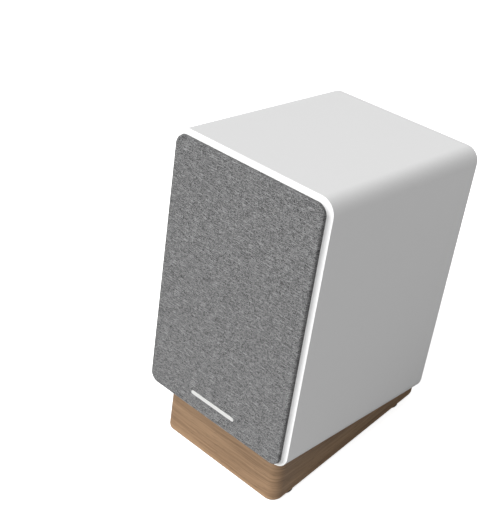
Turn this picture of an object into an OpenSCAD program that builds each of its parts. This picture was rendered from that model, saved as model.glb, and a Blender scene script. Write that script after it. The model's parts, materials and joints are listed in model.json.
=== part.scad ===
// Compact two-way desktop speaker on a wooden wedge stand. Millimetres, +Z up.
// Everything in the cabinet is drawn square to the cabinet: x across, y from front to back, z up its
// side, with the front rim's face at y = 0 and the underside at z = 0. posed() then leans it back.
// The origin is under the middle of the whole speaker, on the surface it stands on.

/* [Cabinet] */
// Width of the cabinet
cab_w = 148; // [146:1:160]
// Height of the cabinet, along its side
cab_h = 223; // [221:1:240]
// Depth of the cabinet, from the front rim to the back
cab_d = 176; // [172:1:200]
// Corner radius, seen from the front
cab_r = 12; // [11:0.5:14]
// Thickness of the cabinet walls
wall = 10; // [9:0.5:11]
// How far back the front edge of the outside starts, behind the rim
rim_depth = 3.1; // [2:0.1:4]
// Width of the sloping rim round the grille
rim_w = 3.5; // [3:0.1:4]
// How far the speaker leans back, in degrees
tilt = 10; // [6:0.5:11]

/* [Grille] */
// How far the grille stands proud of the rim
grille_proud = 2.9; // [1:0.1:4]
// Air gap round and behind the grille
grille_gap = 0.3; // [0.3:0.05:0.6]
// Thickness of the cloth
cloth_t = 0.7; // [0.5:0.1:1]
// Width of the grille frame's border
frame_border = 10; // [9:0.5:11]
// Length of the plain bar badge
badge_w = 46; // [20:1:60]

/* [Drivers] */
// Height of the woofer's axis above the underside
woofer_z = 78; // [76:1:80]
// Radius of the woofer's flange
woofer_r = 57; // [56:0.5:58]
// Height of the tweeter's axis above the underside
tweeter_z = 174; // [172:1:176]
// Radius of the tweeter's faceplate
tweeter_r = 34; // [32:0.5:35]
// Thickness of the front baffle
baffle_t = 15; // [14:0.5:17]

/* [Stand] */
// Width of the wedge
stand_w = 124.6; // [110:0.1:130]
// Distance from the rim to the wedge's front
stand_y0 = 12.5; // [5:0.5:20]
// Distance from the rim to the wedge's back
stand_y1 = 192.5; // [170:0.5:200]
// Depth of the wedge below the cabinet, measured under the rim
stand_drop = 48.8; // [46:0.1:56]
// Corner radius of the wedge
stand_r = 9.5; // [6:0.5:14]
// How far the rubber feet stand out of the wedge
foot_h = 2.5; // [2:0.1:4]

/* [Back] */
// Height of the reflex port above the underside
port_z = 176; // [174:1:180]
// Bore radius of the reflex port
port_r = 17; // [14:0.5:17.5]
// Width of the amplifier panel
panel_w = 112; // [110:1:116]
// Height of the amplifier panel
panel_h = 126; // [124:1:128]
// Radius of the volume knob
knob_r = 10.5; // [9:0.5:12]

/* [Hidden] */
$fn = 96;

clear = 0.1;                                  // slack round screws and magnets
wood_clear = 0.4;                             // slack round parts let into boards
mid_z = cab_h / 2;
pocket_w = cab_w - 2 * rim_w;                 // opening inside the rim
pocket_h = cab_h - 2 * rim_w;
pocket_r = cab_r - rim_w;
baffle_y = 5;                                 // front face of the baffle
baffle_back = baffle_y + baffle_t;
cavity_w = cab_w - 2 * wall;
cavity_h = cab_h - 2 * wall;
rear_t = 10;
lift_z = stand_drop * cos(tilt) + foot_h;
shift_y = (grille_proud * cos(tilt) - rim_w * sin(tilt) - cab_d * cos(tilt) - cab_h * sin(tilt)) / 2;

// grille
grille_w = pocket_w - 2 * grille_gap;
grille_h = pocket_h - 2 * grille_gap;
grille_r = pocket_r - grille_gap;
frame_back = baffle_y - grille_gap;
frame_front = cloth_t - grille_proud;
frame_w = grille_w - 2 * cloth_t;
frame_h = grille_h - 2 * cloth_t;
window_w = frame_w - 2 * frame_border;
window_z0 = mid_z - frame_h / 2 + frame_border;
window_z1 = mid_z + frame_h / 2 - frame_border;
bar_z0 = 134.5;                               // crossbar between the drivers
bar_z1 = 140.5;
magnet_r = 4;
magnet_t = 3;
magnet_x = frame_w / 2 - frame_border / 2 - 0.1;
magnet_zs = [22, cab_h - 22];
badge_h = 3.2;
badge_z = 18.7;

// woofer, measured outwards from the baffle's face
flange_t = 3;
flange_z = -3.5;                              // front of the woofer's flange
woofer_hole_r = 49.6;
woofer_screw_r = 53.6;
surround_r = 42.6;                            // middle of the half roll
roll_r = 4.4;
cone_r = 38.4;
coil_r = 12.7;
pole_r = 11.9;
top_plate_z = -36;
magnet_ring_z = -41;
back_plate_z = -56;

// tweeter, measured outwards from the baffle's face
plate_t = 4;
tweeter_hole_r = 26;
tweeter_screw_r = 30;
dome_r = 12;

// stand
bolt_ys = [60, 130];
bolt_r = 3;
bolt_head_z = -16;
pad_t = 0.8;
foot_r = 8;
foot_x = 53;
foot_ys = [-79, 56];
foot_let_in = 2;

// back
panel_z = 14 + panel_h / 2;
panel_t = 2;
board_y = cab_d - 16;                         // amplifier board, behind the panel
board_t = 1.6;
port_y0 = cab_d - 76;
port_flange_r = 28;
flare_r = 8;
knob_at = [0, 120];
button_at = [-32, 120];
optical_at = [-36, 92];
usb_at = [-12, 92];
rca_at = [[14, 92], [32, 92], [32, 66]];
red_at = [-13, 64];
black_at = [-32, 64];
inlet_at = [-26, 32];
rocker_at = [26, 32];
rocker_pivot_z = -2;
panel_screws = [for (x = [-53, 53]) for (z = [19, panel_z, 135]) [x, z]];
standoffs = [for (x = [-43, 43]) for (z = [26, 122]) [x, z]];

// ---- placing ----

module posed() { translate([0, shift_y, lift_z]) rotate([-tilt, 0, 0]) children(); }

// local z points out of the front, from the baffle's face
module on_baffle(z) { posed() translate([0, baffle_y, z]) rotate([90, 0, 0]) children(); }

// local z points out of the back, from the amplifier panel's face
module on_back(at) { posed() translate([at[0], cab_d, at[1]]) rotate([-90, 0, 0]) children(); }

// ---- shapes that repeat ----

module rounded(w, h, r) {
    square([w - 2 * r, h], center = true);
    square([w, h - 2 * r], center = true);
    for (x = [-1, 1]) for (y = [-1, 1])
        translate([x * (w / 2 - r), y * (h / 2 - r)]) circle(r);
}

// an upright board with rounded corners, from y0 to y1
module board(w, h, r, y0, y1, z = mid_z) {
    translate([0, y1, z]) rotate([90, 0, 0]) linear_extrude(y1 - y0) rounded(w, h, r);
}

module ring(r_out, r_in, z0, z1) {
    translate([0, 0, z0]) difference() {
        cylinder(h = z1 - z0, r = r_out);
        translate([0, 0, -1]) cylinder(h = z1 - z0 + 2, r = r_in);
    }
}

module disc(r, z0, z1) { translate([0, 0, z0]) cylinder(h = z1 - z0, r = r); }

module block(w, h, z0, z1, x = 0, y = 0) {
    translate([x - w / 2, y - h / 2, z0]) cube([w, h, z1 - z0]);
}

// a thin half-round roll between two flat lips
module half_roll(r_mid, r_roll, t, lip_in, lip_out, z) {
    translate([0, 0, z]) {
        ring(r_mid - r_roll + t, lip_in, 0, t);
        ring(lip_out, r_mid + r_roll - t, 0, t);
        rotate_extrude() translate([r_mid, 0]) intersection() {
            difference() {
                circle(r_roll);
                circle(r_roll - t);
            }
            translate([-r_roll, 0]) square([2 * r_roll, r_roll]);
        }
    }
}

module dome(r_base, r_ball, t, z) {
    drop = sqrt(r_ball * r_ball - r_base * r_base);
    intersection() {
        translate([0, 0, z - drop]) difference() {
            sphere(r_ball);
            sphere(r_ball - t);
        }
        disc(r_base + 1, z, z + r_ball);
    }
}

module screw(head_r, head_h, shank_r, length) {
    cylinder(h = head_h, r = head_r, $fn = 32);
    translate([0, 0, -length]) cylinder(h = length, r = shank_r, $fn = 32);
}

module spread(r, count, start) {
    for (i = [0 : count - 1]) rotate([0, 0, start + i * 360 / count]) translate([r, 0, 0]) children();
}

// one round wire through a list of points
module wire(points, r) {
    for (i = [0 : len(points) - 2]) hull() {
        translate(points[i]) sphere(r, $fn = 8);
        translate(points[i + 1]) sphere(r, $fn = 8);
    }
}

// ---- stand ----

module feet_places() {
    for (x = [-foot_x, foot_x]) for (y = foot_ys) translate([x, y, 0]) children();
}

module stand_wedge() {
    color([0.55, 0.40, 0.28]) difference() {
        posed() difference() {
            translate([0, (stand_y0 + stand_y1) / 2, -stand_drop]) linear_extrude(stand_drop - pad_t)
                rounded(stand_w, stand_y1 - stand_y0, stand_r);
            translate([0, 0, -stand_drop]) rotate([tilt, 0, 0]) translate([-cab_w, -cab_d, -cab_h])
                cube([2 * cab_w, 3 * cab_d, cab_h]);
            for (y = bolt_ys) translate([0, y, 0]) {
                disc(bolt_r + 0.2, -stand_drop, 1);
                disc(6.5, -stand_drop, bolt_head_z);
            }
        }
        feet_places() {
            disc(foot_r + clear, 0, foot_h + foot_let_in);
            disc(1.85, 0, 15);
        }
    }
}

module stand_feet() {
    color([0.05, 0.05, 0.05]) feet_places() difference() {
        disc(foot_r, 0, foot_h + foot_let_in);
        disc(4, -1, 2);
        disc(2, 1, 9);
    }
}

module stand_foot_screws() {
    color([0.6, 0.6, 0.6]) feet_places() translate([0, 0, 2]) mirror([0, 0, 1]) screw(3.6, 1.2, 1.75, 11);
}

module stand_pad() {
    color([0.1, 0.1, 0.1]) posed() difference() {
        translate([0, (stand_y0 + cab_d) / 2, -pad_t]) linear_extrude(pad_t)
            rounded(stand_w - 8, cab_d - stand_y0 - 8, stand_r - 4);
        for (y = bolt_ys) translate([0, y, 0]) disc(6, -2, 1);
    }
}

module stand_bolts() {
    color([0.2, 0.2, 0.2]) posed() for (y = bolt_ys) translate([0, y, 0]) difference() {
        union() {
            disc(bolt_r, bolt_head_z, 8);
            disc(5, bolt_head_z - 6, bolt_head_z);
        }
        translate([0, 0, bolt_head_z - 7]) cylinder(h = 4, r = 2.9, $fn = 6);
    }
}

module threaded_inserts() {
    color([0.8, 0.65, 0.3]) posed() for (y = bolt_ys) translate([0, y, 0]) ring(4.5, bolt_r + clear, 0.2, 9.2);
}

// ---- cabinet ----

// the outer block, with its front edge cut to a slope that follows the rounded corners
module outer_block() {
    board(cab_w, cab_h, cab_r, rim_depth, cab_d);
    for (x = [-1, 1]) for (z = [cab_r, cab_h - cab_r])
        translate([x * (cab_w / 2 - cab_r), rim_depth, z]) rotate([90, 0, 0])
            cylinder(h = rim_depth, r1 = cab_r, r2 = cab_r - rim_w);
    translate([0, 0, cab_r]) linear_extrude(cab_h - 2 * cab_r)
        polygon([[-cab_w / 2, rim_depth], [cab_w / 2, rim_depth],
            [cab_w / 2 - rim_w, 0], [rim_w - cab_w / 2, 0]]);
    translate([cab_r - cab_w / 2, 0, 0]) rotate([90, 0, 90]) linear_extrude(cab_w - 2 * cab_r)
        polygon([[rim_depth, 0], [rim_depth, cab_h], [0, cab_h - rim_w], [0, rim_w]]);
}

module cabinet_shell() {
    color([0.93, 0.93, 0.92]) posed() difference() {
        outer_block();
        board(pocket_w, pocket_h, pocket_r, -1, baffle_back);
        board(cavity_w, cavity_h, 3, baffle_back - 1, cab_d + 1);
        for (y = bolt_ys) translate([0, y, 0]) disc(4.5 + clear, -1, wall + 1);
    }
}

module front_baffle() {
    color([0.12, 0.12, 0.12]) difference() {
        posed() board(pocket_w, pocket_h, pocket_r, baffle_y, baffle_back);
        on_baffle(woofer_z) {
            disc(woofer_r + wood_clear, flange_z - flange_t - 1, 1);
            disc(woofer_hole_r, -baffle_t - 1, 0);
            spread(woofer_screw_r, 4, 45) disc(1.7, -baffle_t - 1, 0);
        }
        on_baffle(tweeter_z) {
            disc(tweeter_r + 0.3, -plate_t, 1);
            disc(tweeter_hole_r, -baffle_t - 1, 0);
            spread(tweeter_screw_r, 4, 45) disc(1.7, -baffle_t - 1, 0);
        }
        magnet_places(baffle_y + magnet_t) disc(magnet_r + clear, 0, magnet_t + 1);
    }
}

// the four magnet places, on a plane at y, local z towards the front
module magnet_places(y) {
    posed() for (x = [-magnet_x, magnet_x]) for (z = magnet_zs)
        translate([x, y, z]) rotate([90, 0, 0]) children();
}

module baffle_magnets() {
    color([0.7, 0.7, 0.72]) magnet_places(baffle_y + magnet_t) disc(magnet_r, 0, magnet_t);
}

module rear_panel() {
    color([0.93, 0.93, 0.92]) difference() {
        posed() difference() {
            board(cavity_w, cavity_h, 3, cab_d - rear_t, cab_d);
            board(panel_w + wood_clear, panel_h + wood_clear, 5, cab_d - panel_t, cab_d + 1, panel_z);
            board(panel_w - 12, panel_h - 12, 4, cab_d - rear_t - 1, cab_d, panel_z);
            for (s = panel_screws) translate([s[0], cab_d, s[1]]) rotate([90, 0, 0]) disc(1.6, -1, rear_t + 1);
        }
        on_back([0, port_z]) disc(port_r + flare_r + 0.7, -rear_t - 1, 1);
    }
}

// wadding against both side walls and the top
module damping_foam() {
    color([0.8, 0.8, 0.78]) posed() {
        for (x = [-1, 1]) translate([x * (cavity_w / 2 - 4.5) - 4.5, 68, 16]) cube([9, 80, 176]);
        translate([14.5 - cavity_w / 2, 30, cab_h - wall - 9]) cube([cavity_w - 29, 66, 9]);
    }
}

module port_tube() {
    a = port_r + flare_r;
    color([0.08, 0.08, 0.08]) on_back([0, port_z]) rotate_extrude() polygon(concat(
        [[port_r, port_y0 - cab_d], [port_r + 2, port_y0 - cab_d], [port_r + 2, -rear_t - 1],
            [a + 0.3, -rear_t + 2], [a + 0.3, 0], [port_flange_r, 0], [port_flange_r, 2]],
        [for (i = [0 : 8]) [a - flare_r * sin(i * 11.25), 2 - flare_r + flare_r * cos(i * 11.25)]]));
}

// ---- grille ----

module grille_frame() {
    color([0.07, 0.07, 0.07]) posed() difference() {
        board(frame_w, frame_h, grille_r - cloth_t, frame_front, frame_back);
        board(window_w, bar_z0 - window_z0, 12, frame_front - 1, frame_back + 1, (window_z0 + bar_z0) / 2);
        board(window_w, window_z1 - bar_z1, 12, frame_front - 1, frame_back + 1, (window_z1 + bar_z1) / 2);
        for (x = [-magnet_x, magnet_x]) for (z = magnet_zs)
            translate([x, frame_back - magnet_t, z]) rotate([-90, 0, 0]) disc(magnet_r + clear, 0, magnet_t + 1);
    }
}

module grille_cloth() {
    color([0.5, 0.5, 0.5]) posed() difference() {
        board(grille_w, grille_h, grille_r, -grille_proud, frame_back - 0.5);
        board(frame_w, frame_h, grille_r - cloth_t, frame_front, frame_back);
    }
}

module grille_magnets() {
    color([0.7, 0.7, 0.72]) magnet_places(frame_back) disc(magnet_r, 0, magnet_t);
}

module badge() {
    color([0.8, 0.8, 0.8]) posed() board(badge_w, badge_h, badge_h / 2 - 0.05, -grille_proud - 0.6,
        -grille_proud, badge_z);
}

// ---- woofer ----

module woofer_basket() {
    color([0.12, 0.12, 0.12]) on_baffle(woofer_z) difference() {
        union() {
            ring(woofer_r, 47, flange_z - flange_t, flange_z);
            rotate_extrude() polygon([[47, -6.5], [49, -6.5], [37, -27], [37, top_plate_z], [20, top_plate_z],
                [20, top_plate_z + 1.5], [35, top_plate_z + 1.5], [35, -29], [27, -29], [27, -27], [35, -27]]);
        }
        for (i = [0 : 3]) rotate([0, 0, 12 + i * 90]) rotate_extrude(angle = 66)
            translate([37.5, -25]) square([14, 16]);
        spread(woofer_screw_r, 4, 45) disc(1.9, -9, 1);
    }
}

module woofer_gasket() {
    color([0.15, 0.15, 0.15]) on_baffle(woofer_z) difference() {
        ring(woofer_r, 50.2, flange_z - flange_t - 1, flange_z - flange_t);
        spread(woofer_screw_r, 4, 45) disc(1.9, -9, 1);
    }
}

module woofer_surround() {
    color([0.05, 0.05, 0.05]) on_baffle(woofer_z) half_roll(surround_r, roll_r, 0.6, 36.8, 50.5, flange_z);
}

module woofer_cone() {
    color([0.1, 0.1, 0.1]) on_baffle(woofer_z) rotate_extrude() polygon([[coil_r, -22], [13.2, -22],
        [cone_r, -4.4], [cone_r, flange_z], [37.4, flange_z], [coil_r, -20.8]]);
}

module woofer_dust_cap() {
    color([0.08, 0.08, 0.08]) on_baffle(woofer_z) dome(16, 22, 0.6, -18.4);
}

module woofer_spider() {
    rs = [for (i = [0 : 24]) coil_r + i * (26 - coil_r) / 24];
    wave = 1440 / (26 - coil_r);                  // four corrugations, in degrees a millimetre
    color([0.75, 0.6, 0.25]) on_baffle(woofer_z) {
        rotate_extrude() polygon(concat(
            [for (r = rs) [r, -26.4 + 0.7 * sin((r - coil_r) * wave)]], [[33, -26.4], [33, -27]],
            [for (i = [24 : -1 : 0]) [rs[i], -27 + 0.7 * sin((rs[i] - coil_r) * wave)]]));
    }
}

module woofer_coil_former() { color([0.75, 0.5, 0.2]) on_baffle(woofer_z) ring(coil_r, 12.3, -45, -21); }

module woofer_voice_coil() { color([0.72, 0.4, 0.2]) on_baffle(woofer_z) ring(13.3, coil_r, -44.5, -32.5); }

module woofer_top_plate() { color([0.5, 0.5, 0.5]) on_baffle(woofer_z) ring(36, 13.8, magnet_ring_z, top_plate_z); }

module woofer_magnet() { color([0.15, 0.15, 0.16]) on_baffle(woofer_z) ring(40, 18, back_plate_z, magnet_ring_z); }

module woofer_back_plate() {
    color([0.5, 0.5, 0.5]) on_baffle(woofer_z) difference() {
        union() {
            disc(36, back_plate_z - 5, back_plate_z);
            disc(pole_r, back_plate_z - 1, top_plate_z);
        }
        disc(4, back_plate_z - 6, 0);
    }
}

module woofer_terminals() {
    color([0.1, 0.1, 0.1]) on_baffle(woofer_z) difference() {
        union() {
            block(16, 6, -34, -29.5, 0, 39);
            for (x = [-5, 5]) block(3, 0.8, -42, -33.5, x, 41);
        }
        disc(37, -36, -28);
    }
}

module woofer_screws() {
    color([0.1, 0.1, 0.1]) on_baffle(woofer_z) spread(woofer_screw_r, 4, 45) translate([0, 0, flange_z])
        screw(2.9, 1.6, 1.6, 11);
}

// ---- tweeter ----

module tweeter_faceplate() {
    color([0.1, 0.1, 0.1]) on_baffle(tweeter_z) difference() {
        disc(tweeter_r, -plate_t, 0);
        disc(15.6, -plate_t - 1, 1);
        translate([0, 0, -2.5]) cylinder(h = 2.6, r1 = 15.6, r2 = 22);
        spread(tweeter_screw_r, 4, 45) {
            disc(1.7, -plate_t - 1, 1);
            disc(3, -1.7, 1);
        }
    }
}

module tweeter_dome() { color([0.12, 0.12, 0.13]) on_baffle(tweeter_z) dome(dome_r, 15, 0.4, -3.4); }

module tweeter_surround() {
    color([0.08, 0.08, 0.08]) on_baffle(tweeter_z) difference() {
        half_roll(13.6, 1.5, 0.3, dome_r + 0.05, 17.5, -plate_t - 0.3);
        disc(dome_r + 0.3, -6, -3.3);
    }
}

module tweeter_voice_coil() {
    color([0.72, 0.4, 0.2]) on_baffle(tweeter_z) {
        ring(dome_r + 0.25, dome_r, -9, -3.4);
        ring(dome_r + 0.45, dome_r + 0.25, -8.5, -5);
    }
}

module tweeter_top_plate() { color([0.5, 0.5, 0.5]) on_baffle(tweeter_z) ring(23, 12.95, -7, -plate_t - 0.3); }

module tweeter_magnet() { color([0.15, 0.15, 0.16]) on_baffle(tweeter_z) ring(23, 15, -15, -7); }

module tweeter_yoke() {
    color([0.5, 0.5, 0.5]) on_baffle(tweeter_z) {
        disc(22, -18, -15);
        disc(11.5, -15.5, -4.8);
    }
}

module tweeter_screws() {
    color([0.1, 0.1, 0.1]) on_baffle(tweeter_z) spread(tweeter_screw_r, 4, 45) translate([0, 0, -1.7])
        screw(2.8, 1.5, 1.6, 11);
}

// four insulated wires from the amplifier board to the two drivers
module speaker_leads() {
    color([0.6, 0.1, 0.1]) posed() for (x = [-5, 5]) {
        wire([[x, 48.3, 119], [x, 58, 124], [x, 120, 122], [x, board_y - 1, 116]], 1.1);
        wire([[1.6 * x, 24.3, tweeter_z], [1.6 * x, 60, 168], [2 * x, 90, 140], [2 * x, board_y - 1, 124]], 1.1);
    }
}

// ---- amplifier ----

module amp_panel() {
    color([0.12, 0.12, 0.12]) difference() {
        posed() board(panel_w, panel_h, 4.8, cab_d - panel_t, cab_d, panel_z);
        for (s = panel_screws) on_back(s) disc(1.7, -9, 1);
        on_back(knob_at) disc(3.6, -9, 1);
        on_back(button_at) disc(3.8, -9, 1);
        on_back(optical_at) block(9.8, 9.8, -9, 1);
        on_back(usb_at) translate([0, 0, -9]) linear_extrude(10) rounded(9.4, 3.8, 1.8);
        for (at = rca_at) on_back(at) disc(5.6, -9, 1);
        for (at = [red_at, black_at]) on_back(at) disc(5.1, -9, 1);
        on_back(inlet_at) block(20.2, 12.2, -9, 1);
        on_back(rocker_at) block(14.2, 21.2, -9, 1);
    }
}

module amp_panel_screws() {
    color([0.1, 0.1, 0.1]) for (s = panel_screws) on_back(s) screw(2.8, 1.6, 1.5, 9);
}

module amp_board() {
    color([0.1, 0.35, 0.15]) difference() {
        posed() board(96, 108, 2, board_y, board_y + board_t, 74);
        for (s = standoffs) on_back(s) disc(1.6, -20, 1);
    }
}

module amp_standoffs() {
    color([0.8, 0.65, 0.3]) for (s = standoffs) on_back(s) {
        translate([0, 0, -14.4]) cylinder(h = 12.4, r = 3, $fn = 6);
        disc(1.5, -17.5, -14.4);
        disc(2.7, -18, -16);
    }
}

module transformer() {
    color([0.75, 0.6, 0.2]) on_back([-24, 44]) {
        block(36, 30, -44, -16);
        block(24, 36, -40, -20);
    }
}

module filter_capacitors() {
    color([0.1, 0.15, 0.3]) for (x = [8, 30]) on_back([x, 34]) disc(9, -48, -16);
}

module heat_sink() {
    color([0.6, 0.6, 0.62]) on_back([0, 92]) {
        block(70, 24, -21, -16);
        for (i = [-4 : 4]) block(2, 24, -42, -20, i * 8);
    }
}

module volume_encoder() {
    color([0.5, 0.5, 0.5]) on_back(knob_at) difference() {
        union() {
            block(12, 12, -14.4, -7);
            disc(3.5, -7.5, 3);
            translate([0, 0, 0]) cylinder(h = 2, r = 5, $fn = 6);
            disc(5.5, -7.5, -2);
        }
        disc(3.05, -10, 4);
    }
}

module volume_shaft() { color([0.8, 0.8, 0.8]) on_back(knob_at) disc(3, -9.6, 10); }

module volume_knob() {
    color([0.08, 0.08, 0.08]) on_back(knob_at) difference() {
        union() {
            disc(knob_r, 1, 11);
            translate([0, 0, 11]) cylinder(h = 1, r1 = knob_r, r2 = knob_r - 1);
        }
        disc(3, 0, 10);
        disc(6.6, 0, 3.6);
        spread(knob_r + 0.5, 24, 0) translate([0, 0, 2]) cylinder(h = 12, r = 0.9, $fn = 16);
    }
}

module pair_switch() { color([0.1, 0.1, 0.1]) on_back(button_at) block(6, 6, -14.4, -8); }

module pair_button() {
    color([0.6, 0.6, 0.6]) on_back(button_at) {
        disc(3.4, -6.8, 1.4);
        disc(4.6, -4, -2.6);
    }
}

module rocker_housing() {
    color([0.06, 0.06, 0.06]) on_back(rocker_at) difference() {
        union() {
            translate([0, 0, 0]) linear_extrude(1.6) rounded(18, 25, 2);
            block(14, 21, -14, 1);
        }
        block(12, 19, -10, 3);
        pivot_pin(1.26, 15);
    }
}

module pivot_pin(r, length) {
    translate([-length / 2, 0, rocker_pivot_z]) rotate([0, 90, 0]) cylinder(h = length, r = r);
}

// rests with its lower half pressed in
module power_rocker() {
    color([0.06, 0.06, 0.06]) on_back(rocker_at) {
        translate([-5.6, 0, rocker_pivot_z]) rotate([-12, 0, 0]) rotate([90, 0, 90]) linear_extrude(11.2)
            polygon([[-8.2, 4.8], [0, 3.1], [8.2, 4.8], [8.2, 1], [4, -4.5], [-4, -4.5], [-8.2, 1]]);
        pivot_pin(1.2, 13.2);
    }
}

module mains_inlet() {
    color([0.06, 0.06, 0.06]) on_back(inlet_at) {
        difference() {
            union() {
                linear_extrude(2) rounded(26, 17, 3);
                block(20, 12, -14, 1);
            }
            translate([0, 0, -11]) linear_extrude(14) rounded(16, 9, 4.4);
        }
        for (x = [-4.3, 4.3]) translate([x, 0, 0]) disc(1.2, -12, -2);
    }
}

module digital_sockets() {
    color([0.1, 0.1, 0.1]) on_back(optical_at) difference() {
        union() {
            block(9.6, 9.6, -14.4, 0.6);
            block(12, 12, 0, 0.8);
        }
        block(7.4, 7.4, -10, 2);
    }
    color([0.7, 0.7, 0.7]) on_back(usb_at) {
        difference() {
            translate([0, 0, -14.4]) linear_extrude(14.4) rounded(9, 3.4, 1.6);
            translate([0, 0, -8]) linear_extrude(9) rounded(8.2, 2.6, 1.25);
        }
        block(6.4, 0.7, -9, -1);
    }
}

module rca_jacks() {
    for (at = rca_at) on_back(at) {
        color([0.1, 0.1, 0.1]) difference() {
            disc(5.5, -14.4, 0);
            disc(1.6, -9, 1);
        }
        color([0.85, 0.7, 0.35]) ring(4.15, 2.9, -0.5, 8);
        color([0.1, 0.1, 0.1]) ring(2.9, 1.6, -0.5, 6.5);
    }
}

// fixed studs, each bored for a 4 mm plug
module binding_posts() {
    for (at = [red_at, black_at]) on_back(at) {
        color([0.1, 0.1, 0.1]) ring(6.5, 3.1, 0, 2.4);
        color([0.85, 0.7, 0.35]) difference() {
            union() {
                disc(3, -13, 14);
                disc(5, -8, 0.5);
            }
            disc(2, 1, 15);
        }
    }
}

module post_sleeve(at) { on_back(at) ring(4.2, 3.08, 2.8, 12.6); }

module post_cap(at) {
    on_back(at) difference() {
        union() {
            ring(6.4, 4.26, 2.9, 12.6);
            ring(6.4, 3.08, 13, 15.6);
            ring(6.4, 4.26, 12.5, 13.1);
        }
        spread(7, 12, 0) translate([0, 0, 2]) cylinder(h = 12.5, r = 1, $fn = 16);
    }
}

module red_post_sleeve() { color([0.85, 0.7, 0.35]) post_sleeve(red_at); }

module red_post_cap() { color([0.6, 0.05, 0.05]) post_cap(red_at); }

module black_post_sleeve() { color([0.85, 0.7, 0.35]) post_sleeve(black_at); }

module black_post_cap() { color([0.05, 0.05, 0.05]) post_cap(black_at); }

stand_wedge();
stand_feet();
stand_foot_screws();
stand_pad();
stand_bolts();
threaded_inserts();
cabinet_shell();
front_baffle();
rear_panel();
baffle_magnets();
damping_foam();
port_tube();
grille_frame();
grille_cloth();
grille_magnets();
badge();
woofer_basket();
woofer_gasket();
woofer_surround();
woofer_cone();
woofer_dust_cap();
woofer_spider();
woofer_coil_former();
woofer_voice_coil();
woofer_top_plate();
woofer_magnet();
woofer_back_plate();
woofer_terminals();
woofer_screws();
tweeter_faceplate();
tweeter_dome();
tweeter_surround();
tweeter_voice_coil();
tweeter_top_plate();
tweeter_magnet();
tweeter_yoke();
tweeter_screws();
speaker_leads();
amp_panel();
amp_panel_screws();
amp_board();
amp_standoffs();
transformer();
filter_capacitors();
heat_sink();
volume_encoder();
volume_shaft();
volume_knob();
pair_switch();
pair_button();
rocker_housing();
power_rocker();
mains_inlet();
digital_sockets();
rca_jacks();
binding_posts();
red_post_sleeve();
red_post_cap();
black_post_sleeve();
black_post_cap();
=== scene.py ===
# %% [markdown]
# # A small desktop speaker on a wooden wedge
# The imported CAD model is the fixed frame: it says where every part is and how big it is. This
# script only makes the looks. A part whose CAD shape is good enough keeps it and gets a finish, and
# a part that needs softer edges or finer detail is made again here, in the same place.

import json
import math
import random

import bmesh
import bpy
from mathutils import Matrix, Quaternion, Vector
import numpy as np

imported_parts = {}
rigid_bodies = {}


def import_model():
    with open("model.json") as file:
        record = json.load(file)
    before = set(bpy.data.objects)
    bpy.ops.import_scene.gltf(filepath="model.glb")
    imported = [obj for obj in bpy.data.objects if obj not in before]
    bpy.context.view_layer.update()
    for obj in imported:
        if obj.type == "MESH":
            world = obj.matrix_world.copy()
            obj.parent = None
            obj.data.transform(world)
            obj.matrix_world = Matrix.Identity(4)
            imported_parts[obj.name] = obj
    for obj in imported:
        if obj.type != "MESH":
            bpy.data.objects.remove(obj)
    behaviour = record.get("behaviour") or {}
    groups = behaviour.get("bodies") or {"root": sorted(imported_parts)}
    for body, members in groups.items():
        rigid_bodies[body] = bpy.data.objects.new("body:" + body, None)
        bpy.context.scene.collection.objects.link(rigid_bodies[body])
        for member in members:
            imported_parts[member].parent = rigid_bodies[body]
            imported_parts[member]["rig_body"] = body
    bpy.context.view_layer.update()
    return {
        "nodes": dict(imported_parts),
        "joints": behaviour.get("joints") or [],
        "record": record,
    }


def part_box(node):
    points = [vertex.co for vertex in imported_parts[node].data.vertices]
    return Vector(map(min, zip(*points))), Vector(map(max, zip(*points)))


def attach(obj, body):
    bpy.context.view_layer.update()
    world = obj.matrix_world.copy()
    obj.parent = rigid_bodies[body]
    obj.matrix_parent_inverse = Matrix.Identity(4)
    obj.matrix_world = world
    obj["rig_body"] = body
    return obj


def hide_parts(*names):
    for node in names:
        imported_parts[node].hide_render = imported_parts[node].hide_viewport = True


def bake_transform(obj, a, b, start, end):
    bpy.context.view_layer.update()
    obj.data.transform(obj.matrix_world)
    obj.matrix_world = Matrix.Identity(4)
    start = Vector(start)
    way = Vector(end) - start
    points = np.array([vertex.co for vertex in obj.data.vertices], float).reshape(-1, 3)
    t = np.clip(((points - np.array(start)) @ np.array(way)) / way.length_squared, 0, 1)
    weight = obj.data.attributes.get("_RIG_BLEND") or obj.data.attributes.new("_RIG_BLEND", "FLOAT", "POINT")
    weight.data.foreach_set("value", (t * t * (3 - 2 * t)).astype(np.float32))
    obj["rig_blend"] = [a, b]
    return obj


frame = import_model()
MM = 0.001

# %% [markdown]
# The cabinet leans back on its wedge, but its parts are square to each other. So each of them is
# drawn upright, in the cabinet's own axes, and leant back as a last step. The grille pulls straight
# off the front, so the axis of its joint says how far the cabinet leans. The cabinet's own origin is
# on the face of the rim, at the middle of the underside.

# %% The cabinet's own axes
front_way = Vector(next(j for j in frame["joints"] if j["name"] == "grille_pull")["axis"])
lean = math.atan2(front_way.z, -front_way.y)
leaning = Matrix.Rotation(-lean, 4, "X")


def extent(node, undo):
    """Lowest and highest corner of a CAD part, after turning it by undo."""
    points = [undo @ v.co for v in frame["nodes"][node].data.vertices]
    return (Vector([min(p[i] for p in points) for i in range(3)]),
            Vector([max(p[i] for p in points) for i in range(3)]))


shell_low, shell_high = extent("cabinet_shell", leaning.inverted())
own = leaning @ Matrix.Translation((0, shell_low.y, shell_low.z))
own_inverse = own.inverted()


def inside(node):
    """Lowest and highest corner of a CAD part in the cabinet's own axes."""
    return extent(node, own_inverse)


shell_w, shell_d, shell_h = shell_high - shell_low
print("leans", round(math.degrees(lean), 2), "degrees; cabinet",
      [round(v / MM, 1) for v in (shell_w, shell_d, shell_h)])

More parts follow.
